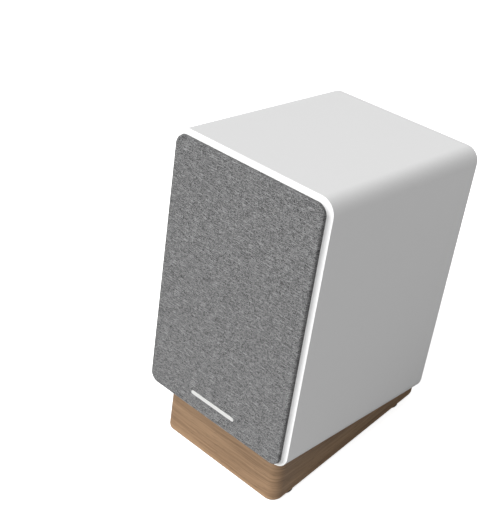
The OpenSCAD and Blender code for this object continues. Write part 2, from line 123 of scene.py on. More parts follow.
# %% [markdown]
# ## Camera, floor and light
# A long lens from above the front right corner. The floor is pale and plain. It looks nearly white,
# but gives back only part of the light, as a studio table does beside black flags, so the side away
# from the lamp stays darker than the front. One very wide lamp stands in front, to the left and above.

# %% Camera
scene = bpy.context.scene
scene.view_settings.view_transform = "Standard"
camera_data = bpy.data.cameras.new("camera")
camera_data.lens = 70.25
camera_data.sensor_width = 36
camera = bpy.data.objects.new("camera", camera_data)
camera.location = (0.4205, -0.5046, 0.6284)
aim = Vector((0, -0.0649, 0.182))
roll = math.radians(0.8)
camera.rotation_mode = "QUATERNION"
camera.rotation_quaternion = (aim - camera.location).to_track_quat("-Z", "Y") @ Quaternion((0, 0, 1), roll)
scene.collection.objects.link(camera)
scene.camera = camera
print("camera", round((aim - camera.location).length, 3), "m from the speaker; lens", camera_data.lens,
      "mm")


# %% [markdown]
# ## Writing node trees
# Materials and Geometry Nodes are both trees of nodes. *Graph* adds a node in one line, and takes each
# input as a number or as the output of another node, so a tree reads like a short formula.


# %% Helpers for node trees
class Graph:
    """Adds nodes to a shader or geometry tree. An input is given as a value or as a socket to link."""

    def __init__(self, tree):
        self.tree = tree

    def add(self, kind, inputs=None, **settings):
        node = self.tree.nodes.new(kind)
        for name, value in settings.items():
            setattr(node, name, value)
        for key, value in (inputs or {}).items():
            if isinstance(value, bpy.types.NodeSocket):
                self.link(value, node.inputs[key])
            else:
                node.inputs[key].default_value = value
        return node

    def maths(self, operation, a, b=0.0, c=0.0):
        return self.add("ShaderNodeMath", {0: a, 1: b, 2: c}, operation=operation).outputs[0]

    def link(self, output, socket):
        self.tree.links.new(output, socket)

    def combine(self, x=0.0, y=0.0, z=0.0):
        return self.add("ShaderNodeCombineXYZ", {0: x, 1: y, 2: z}).outputs[0]

    def scaled(self, vector, scale):
        return self.add("ShaderNodeVectorMath", {0: vector, "Scale": scale}, operation="SCALE").outputs[0]

    def vector(self, operation, a, b=(0, 0, 0)):
        return self.add("ShaderNodeVectorMath", {0: a, 1: b}, operation=operation).outputs[0]

    def mix(self, factor, a, b):
        return self.add("ShaderNodeMix", {0: factor, 6: a, 7: b}, data_type="RGBA").outputs[2]

    def mix_value(self, factor, a, b):
        return self.add("ShaderNodeMix", {0: factor, 2: a, 3: b}, data_type="FLOAT").outputs[0]

    def spread(self, value, low, high, to_low=0.0, to_high=1.0):
        """Maps low..high to to_low..to_high, clamped."""
        return self.add("ShaderNodeMapRange",
                        {0: value, 1: low, 2: high, 3: to_low, 4: to_high}).outputs[0]

    def noise(self, vector, scale, detail=2.0, roughness=0.5):
        return self.add("ShaderNodeTexNoise", {"Vector": vector, "Scale": scale, "Detail": detail,
                                               "Roughness": roughness}).outputs["Fac"]


def node_group(kind, name, inputs, outputs):
    """An empty node group with named sockets: (name, socket type, default value)."""
    tree = bpy.data.node_groups.new(name, kind)
    for label, socket_type, value in inputs:
        socket = tree.interface.new_socket(name=label, in_out="INPUT", socket_type=socket_type)
        if value is not None:
            socket.default_value = value
    for label, socket_type in outputs:
        tree.interface.new_socket(name=label, in_out="OUTPUT", socket_type=socket_type)
    start = tree.nodes.new("NodeGroupInput")
    end = tree.nodes.new("NodeGroupOutput")
    return tree, Graph(tree), start, end


# %% [markdown]
# The world is white to the camera, but much darker as a light, so the shadows keep some depth. The
# floor is treated the same way: bright to look at, less bright as a reflector.

# %% Floor and light
KEY_DIRECTION = Vector((0.23, 0.75, -0.61))    # the way the light travels
KEY_STRENGTH = 3.8
KEY_SPREAD = math.radians(44)
SKY_LEVEL = 0.39
FLOOR_SEEN = (0.90, 0.90, 0.90, 1)
FLOOR_BOUNCE = (0.45, 0.45, 0.45, 1)
FLOOR_GLOW = 0.8                               # lifts the floor to the white of the background
WHITE = (1, 1, 1, 1)

world = bpy.data.worlds.new("studio")
world.use_nodes = True
scene.world = world
world.node_tree.nodes.clear()
g = Graph(world.node_tree)
seen = g.add("ShaderNodeBackground", {"Color": WHITE, "Strength": 1.0})
sky = g.add("ShaderNodeBackground", {"Color": WHITE, "Strength": SKY_LEVEL})
path = g.add("ShaderNodeLightPath")
both = g.add("ShaderNodeMixShader",
             {0: path.outputs["Is Camera Ray"], 1: sky.outputs[0], 2: seen.outputs[0]})
g.add("ShaderNodeOutputWorld", {0: both.outputs[0]})

lamp = bpy.data.lights.new("key_light", "SUN")
lamp.energy = KEY_STRENGTH
lamp.angle = KEY_SPREAD
key_light = bpy.data.objects.new("key_light", lamp)
key_light.rotation_mode = "QUATERNION"
key_light.rotation_quaternion = KEY_DIRECTION.to_track_quat("-Z", "Y")
scene.collection.objects.link(key_light)

floor_mesh = bpy.data.meshes.new("floor")
floor_reach = 6.0
floor_mesh.from_pydata([(-floor_reach, -floor_reach, 0), (floor_reach, -floor_reach, 0),
                        (floor_reach, floor_reach, 0), (-floor_reach, floor_reach, 0)], [],
                       [(0, 1, 2, 3)])
floor = bpy.data.objects.new("floor", floor_mesh)
scene.collection.objects.link(floor)
floor_paint = bpy.data.materials.new("floor_paint")
floor_paint.use_nodes = True
floor_paint.node_tree.nodes.clear()
g = Graph(floor_paint.node_tree)
path = g.add("ShaderNodeLightPath")
paint = g.add("ShaderNodeBsdfDiffuse",
              {"Color": g.mix(path.outputs["Is Camera Ray"], FLOOR_BOUNCE, FLOOR_SEEN)})
lift = g.add("ShaderNodeEmission",
             {"Color": WHITE, "Strength": g.maths("MULTIPLY", path.outputs["Is Camera Ray"], FLOOR_GLOW)})
lit = g.add("ShaderNodeAddShader", {0: paint.outputs[0], 1: lift.outputs[0]})
g.add("ShaderNodeOutputMaterial", {0: lit.outputs[0]})
floor_mesh.materials.append(floor_paint)
print("lamp", round(math.degrees(KEY_SPREAD)), "degrees wide; sky", SKY_LEVEL)

# %% [markdown]
# ## Effects that several finishes share
# Each is a node group with its own sockets, placed in a material with that material's values. They
# read Object coordinates, in metres, so the same grain has the same size on every piece.
# *surface_grain* is the fine unevenness of sprayed paint or moulded plastic, *handling* is the faint
# uneven sheen that hands and dust leave, *wood_figure* is timber seen along the grain, and
# *thread_weave* is a plain weave of yarns that differ a little from each other.

# %% Shared effects: fine grain and handling
surface_grain, g, start, end = node_group(
    "ShaderNodeTree", "surface_grain",
    [("Size", "NodeSocketFloat", 0.8), ("Waviness", "NodeSocketFloat", 0.3)],
    [("Height", "NodeSocketFloat")])
place = g.add("ShaderNodeTexCoord").outputs["Object"]
fine = g.noise(place, g.maths("DIVIDE", 1000.0, start.outputs["Size"]), 3.0, 0.6)
broad = g.noise(place, g.maths("DIVIDE", 90.0, start.outputs["Size"]), 1.0)
g.link(g.mix_value(start.outputs["Waviness"], fine, broad), end.inputs["Height"])

handling, g, start, end = node_group(
    "ShaderNodeTree", "handling",
    [("Roughness", "NodeSocketFloat", 0.4), ("Variation", "NodeSocketFloat", 0.08)],
    [("Roughness", "NodeSocketFloat"), ("Dust", "NodeSocketFloat")])
place = g.add("ShaderNodeTexCoord").outputs["Object"]
smear = g.noise(g.vector("MULTIPLY", place, (1.0, 0.6, 1.6)), 22.0, 4.0, 0.6)
smear = g.maths("SUBTRACT", smear, 0.5)
g.link(g.maths("MULTIPLY_ADD", smear, start.outputs["Variation"], start.outputs["Roughness"]),
                 end.inputs["Roughness"])
g.link(g.spread(g.noise(place, 140.0, 5.0, 0.7), 0.55, 0.8), end.inputs["Dust"])

# %% Shared effect: wood
wood_figure, g, start, end = node_group(
    "ShaderNodeTree", "wood_figure",
    [("Line Width", "NodeSocketFloat", 1.6), ("Wander", "NodeSocketFloat", 2.5),
     ("Seed", "NodeSocketFloat", 0.0)],
    [("Lines", "NodeSocketFloat"), ("Bands", "NodeSocketFloat"), ("Pores", "NodeSocketFloat"),
     ("Height", "NodeSocketFloat")])
place = g.add("ShaderNodeTexCoord").outputs["Object"]
shifted = g.vector("ADD", place, g.combine(start.outputs["Seed"]))
drift = g.maths("MULTIPLY", g.maths("SUBTRACT", g.noise(shifted, 14.0, 2.0), 0.5),
                g.maths("MULTIPLY", start.outputs["Wander"], MM))
parts = g.add("ShaderNodeSeparateXYZ", {0: shifted})
flat_face = g.maths("ABSOLUTE", g.add("ShaderNodeSeparateXYZ", {
    0: g.add("ShaderNodeNewGeometry").outputs["Normal"]}).outputs[2])
across = g.mix_value(g.spread(flat_face, 0.75, 0.9), parts.outputs[2], parts.outputs[0])
across = g.maths("ADD", across, drift)
along = g.mix_value(g.spread(flat_face, 0.75, 0.9), g.maths("ADD", parts.outputs[0], parts.outputs[1]),
                    parts.outputs[1])
rows = g.maths("DIVIDE", 1000.0, start.outputs["Line Width"])


def drawn_out(per_metre, row_share, layer):
    """Where to read noise for streaks: few changes along the grain, many across it."""
    return g.combine(g.maths("MULTIPLY", along, per_metre),
                     g.maths("MULTIPLY", across, g.maths("MULTIPLY", rows, row_share)), layer)


lines = g.noise(drawn_out(16.0, 1.0, 0.0), 1.0, 3.0, 0.65)
bands = g.noise(drawn_out(9.0, 0.16, 4.0), 1.0, 2.0, 0.5)
pores = g.spread(g.noise(drawn_out(110.0, 2.2, 9.0), 1.0, 1.0), 0.60, 0.74)
g.link(lines, end.inputs["Lines"])
g.link(bands, end.inputs["Bands"])
g.link(pores, end.inputs["Pores"])
g.link(g.maths("SUBTRACT", g.maths("MULTIPLY", lines, 0.4), g.maths("MULTIPLY", pores, 0.6)),
       end.inputs["Height"])

# %% Shared effect: woven yarns
thread_weave, g, start, end = node_group(
    "ShaderNodeTree", "thread_weave",
    [("Place", "NodeSocketVector", None), ("Pitch", "NodeSocketFloat", 0.9),
     ("Slub Length", "NodeSocketFloat", 4.0)],
    [("Yarn", "NodeSocketFloat"), ("Mottle", "NodeSocketFloat"), ("Gap", "NodeSocketFloat"),
     ("Height", "NodeSocketFloat")])
sway = g.add("ShaderNodeTexNoise",
             {"Vector": start.outputs["Place"], "Scale": 60.0, "Detail": 1.0}).outputs["Color"]
sway = g.scaled(g.vector("SUBTRACT", sway, (0.5, 0.5, 0.5)), 1.2 * MM)
swayed = g.vector("ADD", start.outputs["Place"], sway)
cells = g.scaled(swayed, g.maths("DIVIDE", 1000.0, start.outputs["Pitch"]))
cell = g.add("ShaderNodeSeparateXYZ", {0: cells})
column = g.maths("FLOOR", cell.outputs[0])
row = g.maths("FLOOR", cell.outputs[1])
over = g.maths("MODULO", g.maths("ABSOLUTE", g.maths("ADD", column, row)), 2.0)
length = g.maths("DIVIDE", start.outputs["Pitch"], start.outputs["Slub Length"])
short = g.maths("MULTIPLY", length, 2.2)
up_place = g.combine(g.maths("MULTIPLY", column, 7.31), g.maths("MULTIPLY", cell.outputs[1], length))
side_place = g.combine(g.maths("MULTIPLY", row, 5.17), g.maths("MULTIPLY", cell.outputs[0], length), 31.0)
soft_yarn = g.mix_value(over, g.noise(up_place, 1.0, 3.0, 0.7), g.noise(side_place, 1.0, 3.0, 0.7))
fleck_up = g.add("ShaderNodeTexWhiteNoise", {"Vector": g.combine(
    column, g.maths("FLOOR", g.maths("MULTIPLY", cell.outputs[1], short)))}).outputs["Value"]
fleck_side = g.add("ShaderNodeTexWhiteNoise", {"Vector": g.combine(
    g.maths("FLOOR", g.maths("MULTIPLY", cell.outputs[0], length)), row, 5.0)}).outputs["Value"]
fleck = g.mix_value(over, fleck_up, fleck_side)
yarn = g.mix_value(0.9, soft_yarn, g.spread(fleck, 0.0, 1.0, 0.2, 0.72))
long_side = g.noise(g.vector("MULTIPLY", swayed, (110.0, 1200.0, 0.0)), 1.0, 1.0)
long_up = g.noise(g.vector("MULTIPLY", swayed, (1200.0, 180.0, 0.0)), 1.0, 1.0)
streak = g.maths("ADD", g.spread(long_side, 0.56, 0.7, 0.0, 0.24),
                 g.spread(long_up, 0.6, 0.74, 0.0, 0.14))
yarn = g.maths("ADD", yarn, streak)
ridge_up = g.maths("ABSOLUTE", g.maths("SINE", g.maths("MULTIPLY", cell.outputs[0], math.pi)))
ridge_side = g.maths("ABSOLUTE", g.maths("SINE", g.maths("MULTIPLY", cell.outputs[1], math.pi)))
mottle = g.noise(start.outputs["Place"], 170.0, 3.0, 0.7)
g.link(yarn, end.inputs["Yarn"])
g.link(mottle, end.inputs["Mottle"])
g.link(g.maths("SUBTRACT", 1.0, g.maths("MULTIPLY", ridge_up, ridge_side)), end.inputs["Gap"])
g.link(g.mix_value(over, ridge_up, ridge_side), end.inputs["Height"])
print("shared effects:", [group.name for group in bpy.data.node_groups])

# %% [markdown]
# ## Finishes
# One short function makes the usual painted, moulded or metal finish from a colour and two or three
# numbers, because on the real object they differ in just that. Cloth, wood, cone and dome have
# functions of their own, since their colour changes over the surface.


# %% Finishes: plain paint, plastic and metal
FINISH = {}


def new_finish(name):
    material = bpy.data.materials.new(name)
    FINISH[name] = material
    material.use_nodes = True
    tree = material.node_tree
    return material, Graph(tree), tree.nodes["Principled BSDF"]


def bump(g, shader, height, depth):
    """Raises the surface by height times depth, in metres."""
    bumped = g.add("ShaderNodeBump", {"Height": height, "Distance": depth, "Strength": 1.0})
    g.link(bumped.outputs[0], shader.inputs["Normal"])


def plain_finish(name, colour, roughness, grain=0.8, depth=0.02, metallic=0.0, coat=0.0, dust=0.04,
                 waviness=0.3, variation=0.1):
    """Paint, plastic, rubber or metal: an even colour, fine grain, and sheen that varies a little."""
    material, g, shader = new_finish(name)
    wear = g.add("ShaderNodeGroup", {"Roughness": roughness, "Variation": variation}, node_tree=handling)
    pale = tuple(c + (0.55 - c) * dust for c in colour)
    g.link(g.mix(wear.outputs["Dust"], (*colour, 1), (*pale, 1)), shader.inputs["Base Color"])
    g.link(wear.outputs["Roughness"], shader.inputs["Roughness"])
    shader.inputs["Metallic"].default_value = metallic
    shader.inputs["Coat Weight"].default_value = coat
    texture = g.add("ShaderNodeGroup", {"Size": grain, "Waviness": waviness}, node_tree=surface_grain)
    bump(g, shader, texture.outputs["Height"], depth * MM)
    return material


PLAIN = {                                      # colour, roughness, and what else is unusual about it
    "white_lacquer": ((0.82, 0.82, 0.82), 0.42, dict(grain=1.4, depth=0.015, dust=0.0, waviness=0.5)),
    "black_board": ((0.018, 0.018, 0.018), 0.6, dict(depth=0.03)),
    "black_plastic": ((0.015, 0.015, 0.016), 0.38, dict(grain=0.5)),
    "grille_plastic": ((0.02, 0.02, 0.02), 0.55, dict(grain=0.5, depth=0.03)),
    "foot_rubber": ((0.012, 0.012, 0.012), 0.75, dict(grain=0.4, depth=0.03)),
    "badge_metal": ((0.70, 0.70, 0.69), 0.35, dict(grain=0.3, depth=0.006, metallic=0.3, dust=0.0)),
    "surround_rubber": ((0.014, 0.014, 0.014), 0.5, dict(grain=0.6)),
    "basket_paint": ((0.02, 0.02, 0.021), 0.5, dict(grain=0.7, depth=0.04)),
    "plated_steel": ((0.62, 0.62, 0.60), 0.32, dict(grain=0.4, depth=0.008, metallic=1.0)),
    "black_steel": ((0.03, 0.03, 0.032), 0.34, dict(grain=0.4, depth=0.008, metallic=0.9)),
    "ferrite": ((0.05, 0.05, 0.055), 0.6, dict(grain=0.5, depth=0.05)),
    "brass": ((0.80, 0.60, 0.26), 0.24, dict(grain=0.4, depth=0.006, metallic=1.0)),
    "magnet_nickel": ((0.70, 0.69, 0.66), 0.18, dict(grain=0.5, depth=0.004, metallic=1.0)),
    "panel_aluminium": ((0.022, 0.022, 0.024), 0.46, dict(grain=0.35, depth=0.03, metallic=0.2)),
    "circuit_board": ((0.012, 0.10, 0.035), 0.35, dict(grain=1.2, depth=0.02)),
    "winding_tape": ((0.70, 0.50, 0.05), 0.4, dict(grain=1.0)),
    "capacitor_sleeve": ((0.015, 0.02, 0.06), 0.25, dict(grain=1.0, depth=0.008)),
    "bare_aluminium": ((0.62, 0.62, 0.64), 0.38, dict(grain=0.3, depth=0.015, metallic=1.0)),
    "former_film": ((0.42, 0.20, 0.05), 0.3, dict(grain=0.8, depth=0.008)),
    "wire_jacket": ((0.36, 0.02, 0.02), 0.35, dict()),
    "red_plastic": ((0.42, 0.012, 0.012), 0.28, dict(grain=0.5)),
    "knob_plastic": ((0.02, 0.02, 0.021), 0.42, dict(grain=0.35, depth=0.03)),
    "copper_wire": ((0.60, 0.24, 0.10), 0.25, dict(grain=0.3, depth=0.01, metallic=1.0)),
}
for name, (colour, roughness, settings) in PLAIN.items():
    plain_finish(name, colour, roughness, **settings)
print("plain finishes:", len(PLAIN))


# %% Finishes: cloth
def woven_finish(name, dark, light, pitch, slub, depth, mapped, gap_shade=0.35, mottle=0.35, sheen=0.15):
    """Yarns between two colours. mapped says whether the piece has a UV map in metres."""
    material, g, shader = new_finish(name)
    place = g.add("ShaderNodeUVMap").outputs[0] if mapped else g.add("ShaderNodeTexCoord").outputs["Object"]
    weave = g.add("ShaderNodeGroup", {"Place": place, "Pitch": pitch, "Slub Length": slub},
                  node_tree=thread_weave)
    tone = g.mix_value(mottle, g.spread(weave.outputs["Yarn"], 0.28, 0.72),
                       g.spread(weave.outputs["Mottle"], 0.3, 0.7))
    colour = g.mix(tone, (*dark, 1), (*light, 1))
    shade = g.maths("SUBTRACT", 1.0, g.maths("MULTIPLY", weave.outputs["Gap"], gap_shade))
    shaded = g.scaled(colour, shade)
    g.link(shaded, shader.inputs["Base Color"])
    shader.inputs["Roughness"].default_value = 0.9
    shader.inputs["Sheen Weight"].default_value = sheen
    bump(g, shader, weave.outputs["Height"], depth * MM)
    return material


woven_finish("grille_fabric", (0.005, 0.005, 0.006), (0.335, 0.336, 0.338), 0.4, 1.2,
                             0.06, True,
                             gap_shade=0.3, mottle=0.06)
woven_finish("spider_cloth", (0.30, 0.16, 0.04), (0.52, 0.32, 0.10), 0.5, 3.0, 0.08, False)
woven_finish("dome_fabric", (0.018, 0.018, 0.019), (0.034, 0.034, 0.036), 0.25, 2.0, 0.03,
                           False)
woven_finish("cone_paper", (0.012, 0.012, 0.013), (0.055, 0.055, 0.058), 1.6, 6.0, 0.05,
                          True, gap_shade=0.2)


# %% Finishes: wadding and wood
def fluffy_finish(name, dark, light):
    material, g, shader = new_finish(name)
    place = g.add("ShaderNodeTexCoord").outputs["Object"]
    fibres = g.noise(g.vector("MULTIPLY", place, (1.0, 2.5, 0.7)), 420.0, 5.0, 0.75)
    g.link(g.mix(fibres, (*dark, 1), (*light, 1)), shader.inputs["Base Color"])
    shader.inputs["Roughness"].default_value = 1.0
    shader.inputs["Sheen Weight"].default_value = 0.4
    bump(g, shader, fibres, 1.2 * MM)
    return material


def wood_finish(name, pale, deep, edge_height):
    """Oiled veneer with its grain level. Painted shade darkens it higher up, under the cabinet, and a
    painted highlight runs along the foot of the wedge.
    """
    material, g, shader = new_finish(name)
    figure = g.add("ShaderNodeGroup", {"Line Width": 1.7, "Wander": 9.0, "Seed": 0.37},
                   node_tree=wood_figure)
    tone = g.mix_value(0.45, g.spread(figure.outputs["Lines"], 0.3, 0.7),
                       g.spread(figure.outputs["Bands"], 0.32, 0.68))
    colour = g.mix(tone, (*deep, 1), (*pale, 1))
    height = g.add("ShaderNodeSeparateXYZ", {0: g.add("ShaderNodeTexCoord").outputs["Object"]}).outputs[2]
    # Painted shade: the wood gets darker higher up, where the cabinet overhangs it.
    painted_overhang_shade = g.spread(height, edge_height, edge_height * 5.5, 1.08, 0.80)
    colour = g.scaled(colour, painted_overhang_shade)
    # Painted highlight: a paler band along the foot, where the rounded lower edge catches the light.
    painted_edge_highlight = g.spread(height, edge_height, edge_height * 0.7, 0.0, 0.5)
    colour = g.mix(painted_edge_highlight, colour, (*(1.12 * c for c in pale), 1))
    colour = g.mix(g.maths("MULTIPLY", figure.outputs["Pores"], 0.45), colour,
                   (*(0.4 * c for c in deep), 1))
    g.link(colour, shader.inputs["Base Color"])
    g.link(g.spread(figure.outputs["Lines"], 0.3, 0.7, 0.62, 0.5), shader.inputs["Roughness"])
    bump(g, shader, figure.outputs["Height"], 0.09 * MM)
    return material


wood_finish("walnut", (0.345, 0.220, 0.125), (0.14, 0.080, 0.040), 8 * MM)
fluffy_finish("wadding", (0.42, 0.42, 0.40), (0.80, 0.80, 0.77))
print("finishes:", len(FINISH))

# %% [markdown]
# ## Ways of making pieces
# Almost everything on this speaker is either a rounded board (cabinet, cloth, wedge) or something
# turned on a lathe (cone, port, magnets, posts). Both are a stack of closed rings joined by faces, so
# one function makes the faces for both. Sharp CAD parts that keep their shape go through *soften*,
# which puts a small real bevel on every edge, because no moulded or machined edge is truly sharp.


# %% Rings, boards and turned shapes
FACING_FRONT = Matrix.Rotation(math.pi / 2, 4, "X")
FACING_BACK = Matrix.Rotation(-math.pi / 2, 4, "X")


def matrix_on_baffle(height):
    """Local z points out of the front, from the face of the baffle at that height."""
    return own @ Matrix.Translation((0, baffle_face, height * MM)) @ FACING_FRONT


def matrix_on_back(x, z):
    """Local z points out of the back, from the rear face; local y points down."""
    return own @ Matrix.Translation((x * MM, shell_d, z * MM)) @ FACING_BACK


def add_object(name, mesh):
    obj = bpy.data.objects.new(name, mesh)
    scene.collection.objects.link(obj)
    return obj


def from_rings(name, rings, place, closed=False, flat_rings=None):
    """Faces between neighbouring rings. A ring of one point is a pole. flat_rings give UVs in metres."""
    mesh = bpy.data.meshes.new(name)
    bm = bmesh.new()
    flat = {}
    made = []
    for number, ring in enumerate(rings):
        verts = [bm.verts.new(point) for point in ring]
        for k, vert in enumerate(verts):
            flat[vert] = flat_rings[number][k] if flat_rings else (0, 0)
        made.append(verts)
    pairs = list(zip(made, made[1:] + made[:1])) if closed else list(zip(made, made[1:]))
    for a, b in pairs:
        count = max(len(a), len(b))
        for k in range(count):
            corners = [a[k % len(a)], a[(k + 1) % len(a)], b[(k + 1) % len(b)], b[k % len(b)]]
            bm.faces.new(list(dict.fromkeys(corners)))
    if not closed:
        for end in (made[0], made[-1]):
            if len(end) > 1:
                bm.faces.new(end)
    bmesh.ops.recalc_face_normals(bm, faces=bm.faces)
    if flat_rings:
        layer = bm.loops.layers.uv.new("flat")
        for face in bm.faces:
            for loop in face.loops:
                loop[layer].uv = flat[loop.vert]
    bm.to_mesh(mesh)
    bm.free()
    mesh.transform(place)
    return add_object(name, mesh)


def shade(obj, angle=35):
    """Smooth shading, kept sharp where faces meet at more than this angle."""
    obj.data.polygons.foreach_set("use_smooth", [True] * len(obj.data.polygons))
    obj.data.set_sharp_from_angle(angle=math.radians(angle))
    return obj


def rounded_outline(w, h, r, steps=10):
    """Points round a rounded rectangle centred on the origin, as (across, up)."""
    r = max(r, 0.02 * MM)
    points = []
    for quarter, (sx, sy) in enumerate(((1, 1), (-1, 1), (-1, -1), (1, -1))):
        for k in range(steps + 1):
            a = math.radians(90 * quarter + 90 * k / steps)
            points.append((sx * (w / 2 - r) + r * math.cos(a), sy * (h / 2 - r) + r * math.sin(a)))
    return points


def arc(centre, r, start, end, steps=6):
    """Points on an arc, for profiles; angles in degrees."""
    angles = [math.radians(start + (end - start) * k / steps) for k in range(steps + 1)]
    return [(centre[0] + r * math.cos(a), centre[1] + r * math.sin(a)) for a in angles]


def eased(profile, width, steps=3, closed=True):
    """The same profile with every corner rounded by up to width."""
    count = len(profile)
    out = []
    for k, point in enumerate(profile):
        here = Vector(point)
        before = Vector(profile[k - 1])
        after = Vector(profile[(k + 1) % count])
        open_end = not closed and k in (0, count - 1)
        reach = min(width, (before - here).length * 0.45, (after - here).length * 0.45)
        if open_end or reach < 1e-3:
            out.append(tuple(here))
            continue
        start = here + (before - here).normalized() * reach
        end = here + (after - here).normalized() * reach
        for n in range(steps + 1):
            t = n / steps
            out.append(tuple(start * (1 - t) ** 2 + here * 2 * t * (1 - t) + end * t * t))
    return out


def board(name, w, h, r, middle, profile, closed=False, flat=None):
    """A rounded board standing in the cabinet's axes. profile is (inset, depth) in mm, front to back."""
    rings = [[(x, y * MM, middle + z) for x,
              z in rounded_outline(w - 2 * inset * MM, h - 2 * inset * MM, r - inset * MM)]
             for inset, y in profile]
    flat_rings = flat and [rounded_outline(w - 2 * s * MM, h - 2 * s * MM, r - s * MM) for s in flat]
    return shade(from_rings(name, rings, own, closed, flat_rings))


def turned(name, profile, place, closed=True, steps=96, ease=0.0):
    """Turns a profile of (radius, height) in mm about local z. UVs follow the surface, in metres."""
    if ease:
        profile = eased(profile, ease, closed=closed)
    rings, flat_rings, walked = [], [], 0.0
    for k, (r, z) in enumerate(profile):
        if k:
            walked += math.dist(profile[k - 1], profile[k])
        angles = [2 * math.pi * n / steps for n in range(steps if r > 1e-6 else 1)]
        rings.append([(r * MM * math.cos(a), r * MM * math.sin(a), z * MM) for a in angles])
        flat_rings.append([((profile[0][0] + walked) * MM * math.cos(a),
                            (profile[0][0] + walked) * MM * math.sin(a)) for a in angles])
    return shade(from_rings(name, rings, place, closed, flat_rings))


# %% Softened copies, cuts, joins and baked node trees
def baked(obj):
    """Replaces an object's mesh by what its modifiers make, then removes them."""
    bpy.context.view_layer.update()
    evaluated = obj.evaluated_get(bpy.context.evaluated_depsgraph_get())
    mesh = bpy.data.meshes.new_from_object(evaluated)
    obj.modifiers.clear()
    obj.data = mesh
    return obj


def soften(node, width=0.3, angle=32):
    """A copy of a CAD part with a small bevel, width mm, on its sharp edges."""
    mesh = frame["nodes"][node].data.copy()
    mesh.materials.clear()
    bm = bmesh.new()
    bm.from_mesh(mesh)
    bmesh.ops.remove_doubles(bm, verts=bm.verts, dist=0.002 * MM)
    bmesh.ops.dissolve_limit(bm, angle_limit=math.radians(0.5), verts=bm.verts, edges=bm.edges)
    bm.to_mesh(mesh)
    bm.free()
    obj = add_object(node + "_soft", mesh)
    bevel = obj.modifiers.new("edges", "BEVEL")
    bevel.width = width * MM
    bevel.segments = 2
    bevel.limit_method = "ANGLE"
    bevel.angle_limit = math.radians(angle)
    bevel.use_clamp_overlap = True
    return shade(baked(obj), 40)


def joined(name, objects):
    """One object from several, which are removed."""
    bm = bmesh.new()
    for obj in objects:
        bm.from_mesh(obj.data)
    mesh = bpy.data.meshes.new(name)
    bm.to_mesh(mesh)
    bm.free()
    for obj in objects:
        bpy.data.objects.remove(obj)
    return shade(add_object(name, mesh))


def carve(obj, cutters):
    """Cuts each cutter out of obj and removes the cutters."""
    cutter = joined("cutter", cutters)
    cut = obj.modifiers.new("cut", "BOOLEAN")
    cut.operation = "DIFFERENCE"
    cut.solver = "EXACT"
    cut.object = cutter
    baked(obj)
    bpy.data.objects.remove(cutter)
    return shade(obj)


def run_tree(obj, tree, values):
    """Runs a geometry node tree on obj with the named inputs, and keeps the plain mesh."""
    modifier = obj.modifiers.new(tree.name, "NODES")
    modifier.node_group = tree
    for item in tree.interface.items_tree:
        if item.item_type == "SOCKET" and item.in_out == "INPUT" and item.name in values:
            modifier[item.identifier] = values[item.name]
    obj.update_tag()
    return baked(obj)


def finish(obj, slot_name, body, *nodes):
    """Gives a piece its finish and its body, and hides the CAD parts it stands for."""
    obj.data.materials.clear()
    obj.data.materials.append(FINISH[slot_name])
    obj.data.polygons.foreach_set("material_index", [0] * len(obj.data.polygons))
    if body:
        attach(obj, body)
    if nodes:
        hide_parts(*nodes)
    return obj


def keep(node):
    """Shows a CAD part as it is, with the finish named in the record."""
    obj = frame["nodes"][node]
    slot_name = SLOT_OF[node]
    obj.data.materials.clear()
    obj.data.materials.append(FINISH[slot_name])
    obj.data.polygons.foreach_set("material_index", [0] * len(obj.data.polygons))
    return obj


def body_of_node(node):
    return frame["nodes"][node]["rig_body"]


SLOT_OF = {part["node"]: part["material_slot"] for part in frame["record"]["subparts"]}


def softened(node, width=0.3, angle=32):
    """The usual case: a softened copy with the finish named in the record, riding the same body."""
    return finish(soften(node, width, angle), SLOT_OF[node], body_of_node(node), node)


baffle_face = inside("front_baffle")[0].y
print("helpers ready; baffle face", round(baffle_face / MM, 2), "mm behind the rim")

# %% [markdown]
# ## Node trees for what repeats
# *set_round* puts copies of an item on a circle, for screws and capacitors. *set_in_rows* puts them on
# a grid, for panel screws, feet and heat-sink fins. *flutes* presses grooves into the side of a knob.
# *small_parts* scatters boxes of different sizes over a circuit board, with a fixed seed.


# %% Node trees
def geometry_tree(name, inputs):
    tree, g, start, end = node_group("GeometryNodeTree", name,
                                     [("Geometry", "NodeSocketGeometry", None)] + inputs,
                                     [("Geometry", "NodeSocketGeometry")])
    return tree, g, start.outputs, end


def place_items(g, points, item, rotation, finish_input, end):
    """Copies of an item on points, made into one plain mesh with its finish."""
    info = g.add("GeometryNodeObjectInfo", {"Object": item})
    copies = g.add("GeometryNodeInstanceOnPoints",
                   {"Points": points, "Instance": info.outputs["Geometry"], "Rotation": rotation})
    real = g.add("GeometryNodeRealizeInstances", {"Geometry": copies.outputs[0]})
    painted = g.add("GeometryNodeSetMaterial", {"Geometry": real.outputs[0], "Material": finish_input})
    g.link(painted.outputs[0], end.inputs[0])


set_round, g, given, end = geometry_tree("set_round", [
    ("Item", "NodeSocketObject", None), ("Count", "NodeSocketInt", 4),
                                                       ("Radius", "NodeSocketFloat", 0.03),
    ("First Angle", "NodeSocketFloat", 0.0), ("Finish", "NodeSocketMaterial", None)])
circle = g.add("GeometryNodeMeshCircle", {"Vertices": given["Count"], "Radius": given["Radius"]})
turned_circle = g.add("GeometryNodeTransform", {
    "Geometry": circle.outputs[0], "Rotation": g.combine(z=given["First Angle"])})
number = g.add("GeometryNodeInputIndex").outputs[0]
spin = g.combine(z=g.maths("MULTIPLY", number, 0.7))
place_items(g, turned_circle.outputs[0], given["Item"], spin, given["Finish"], end)

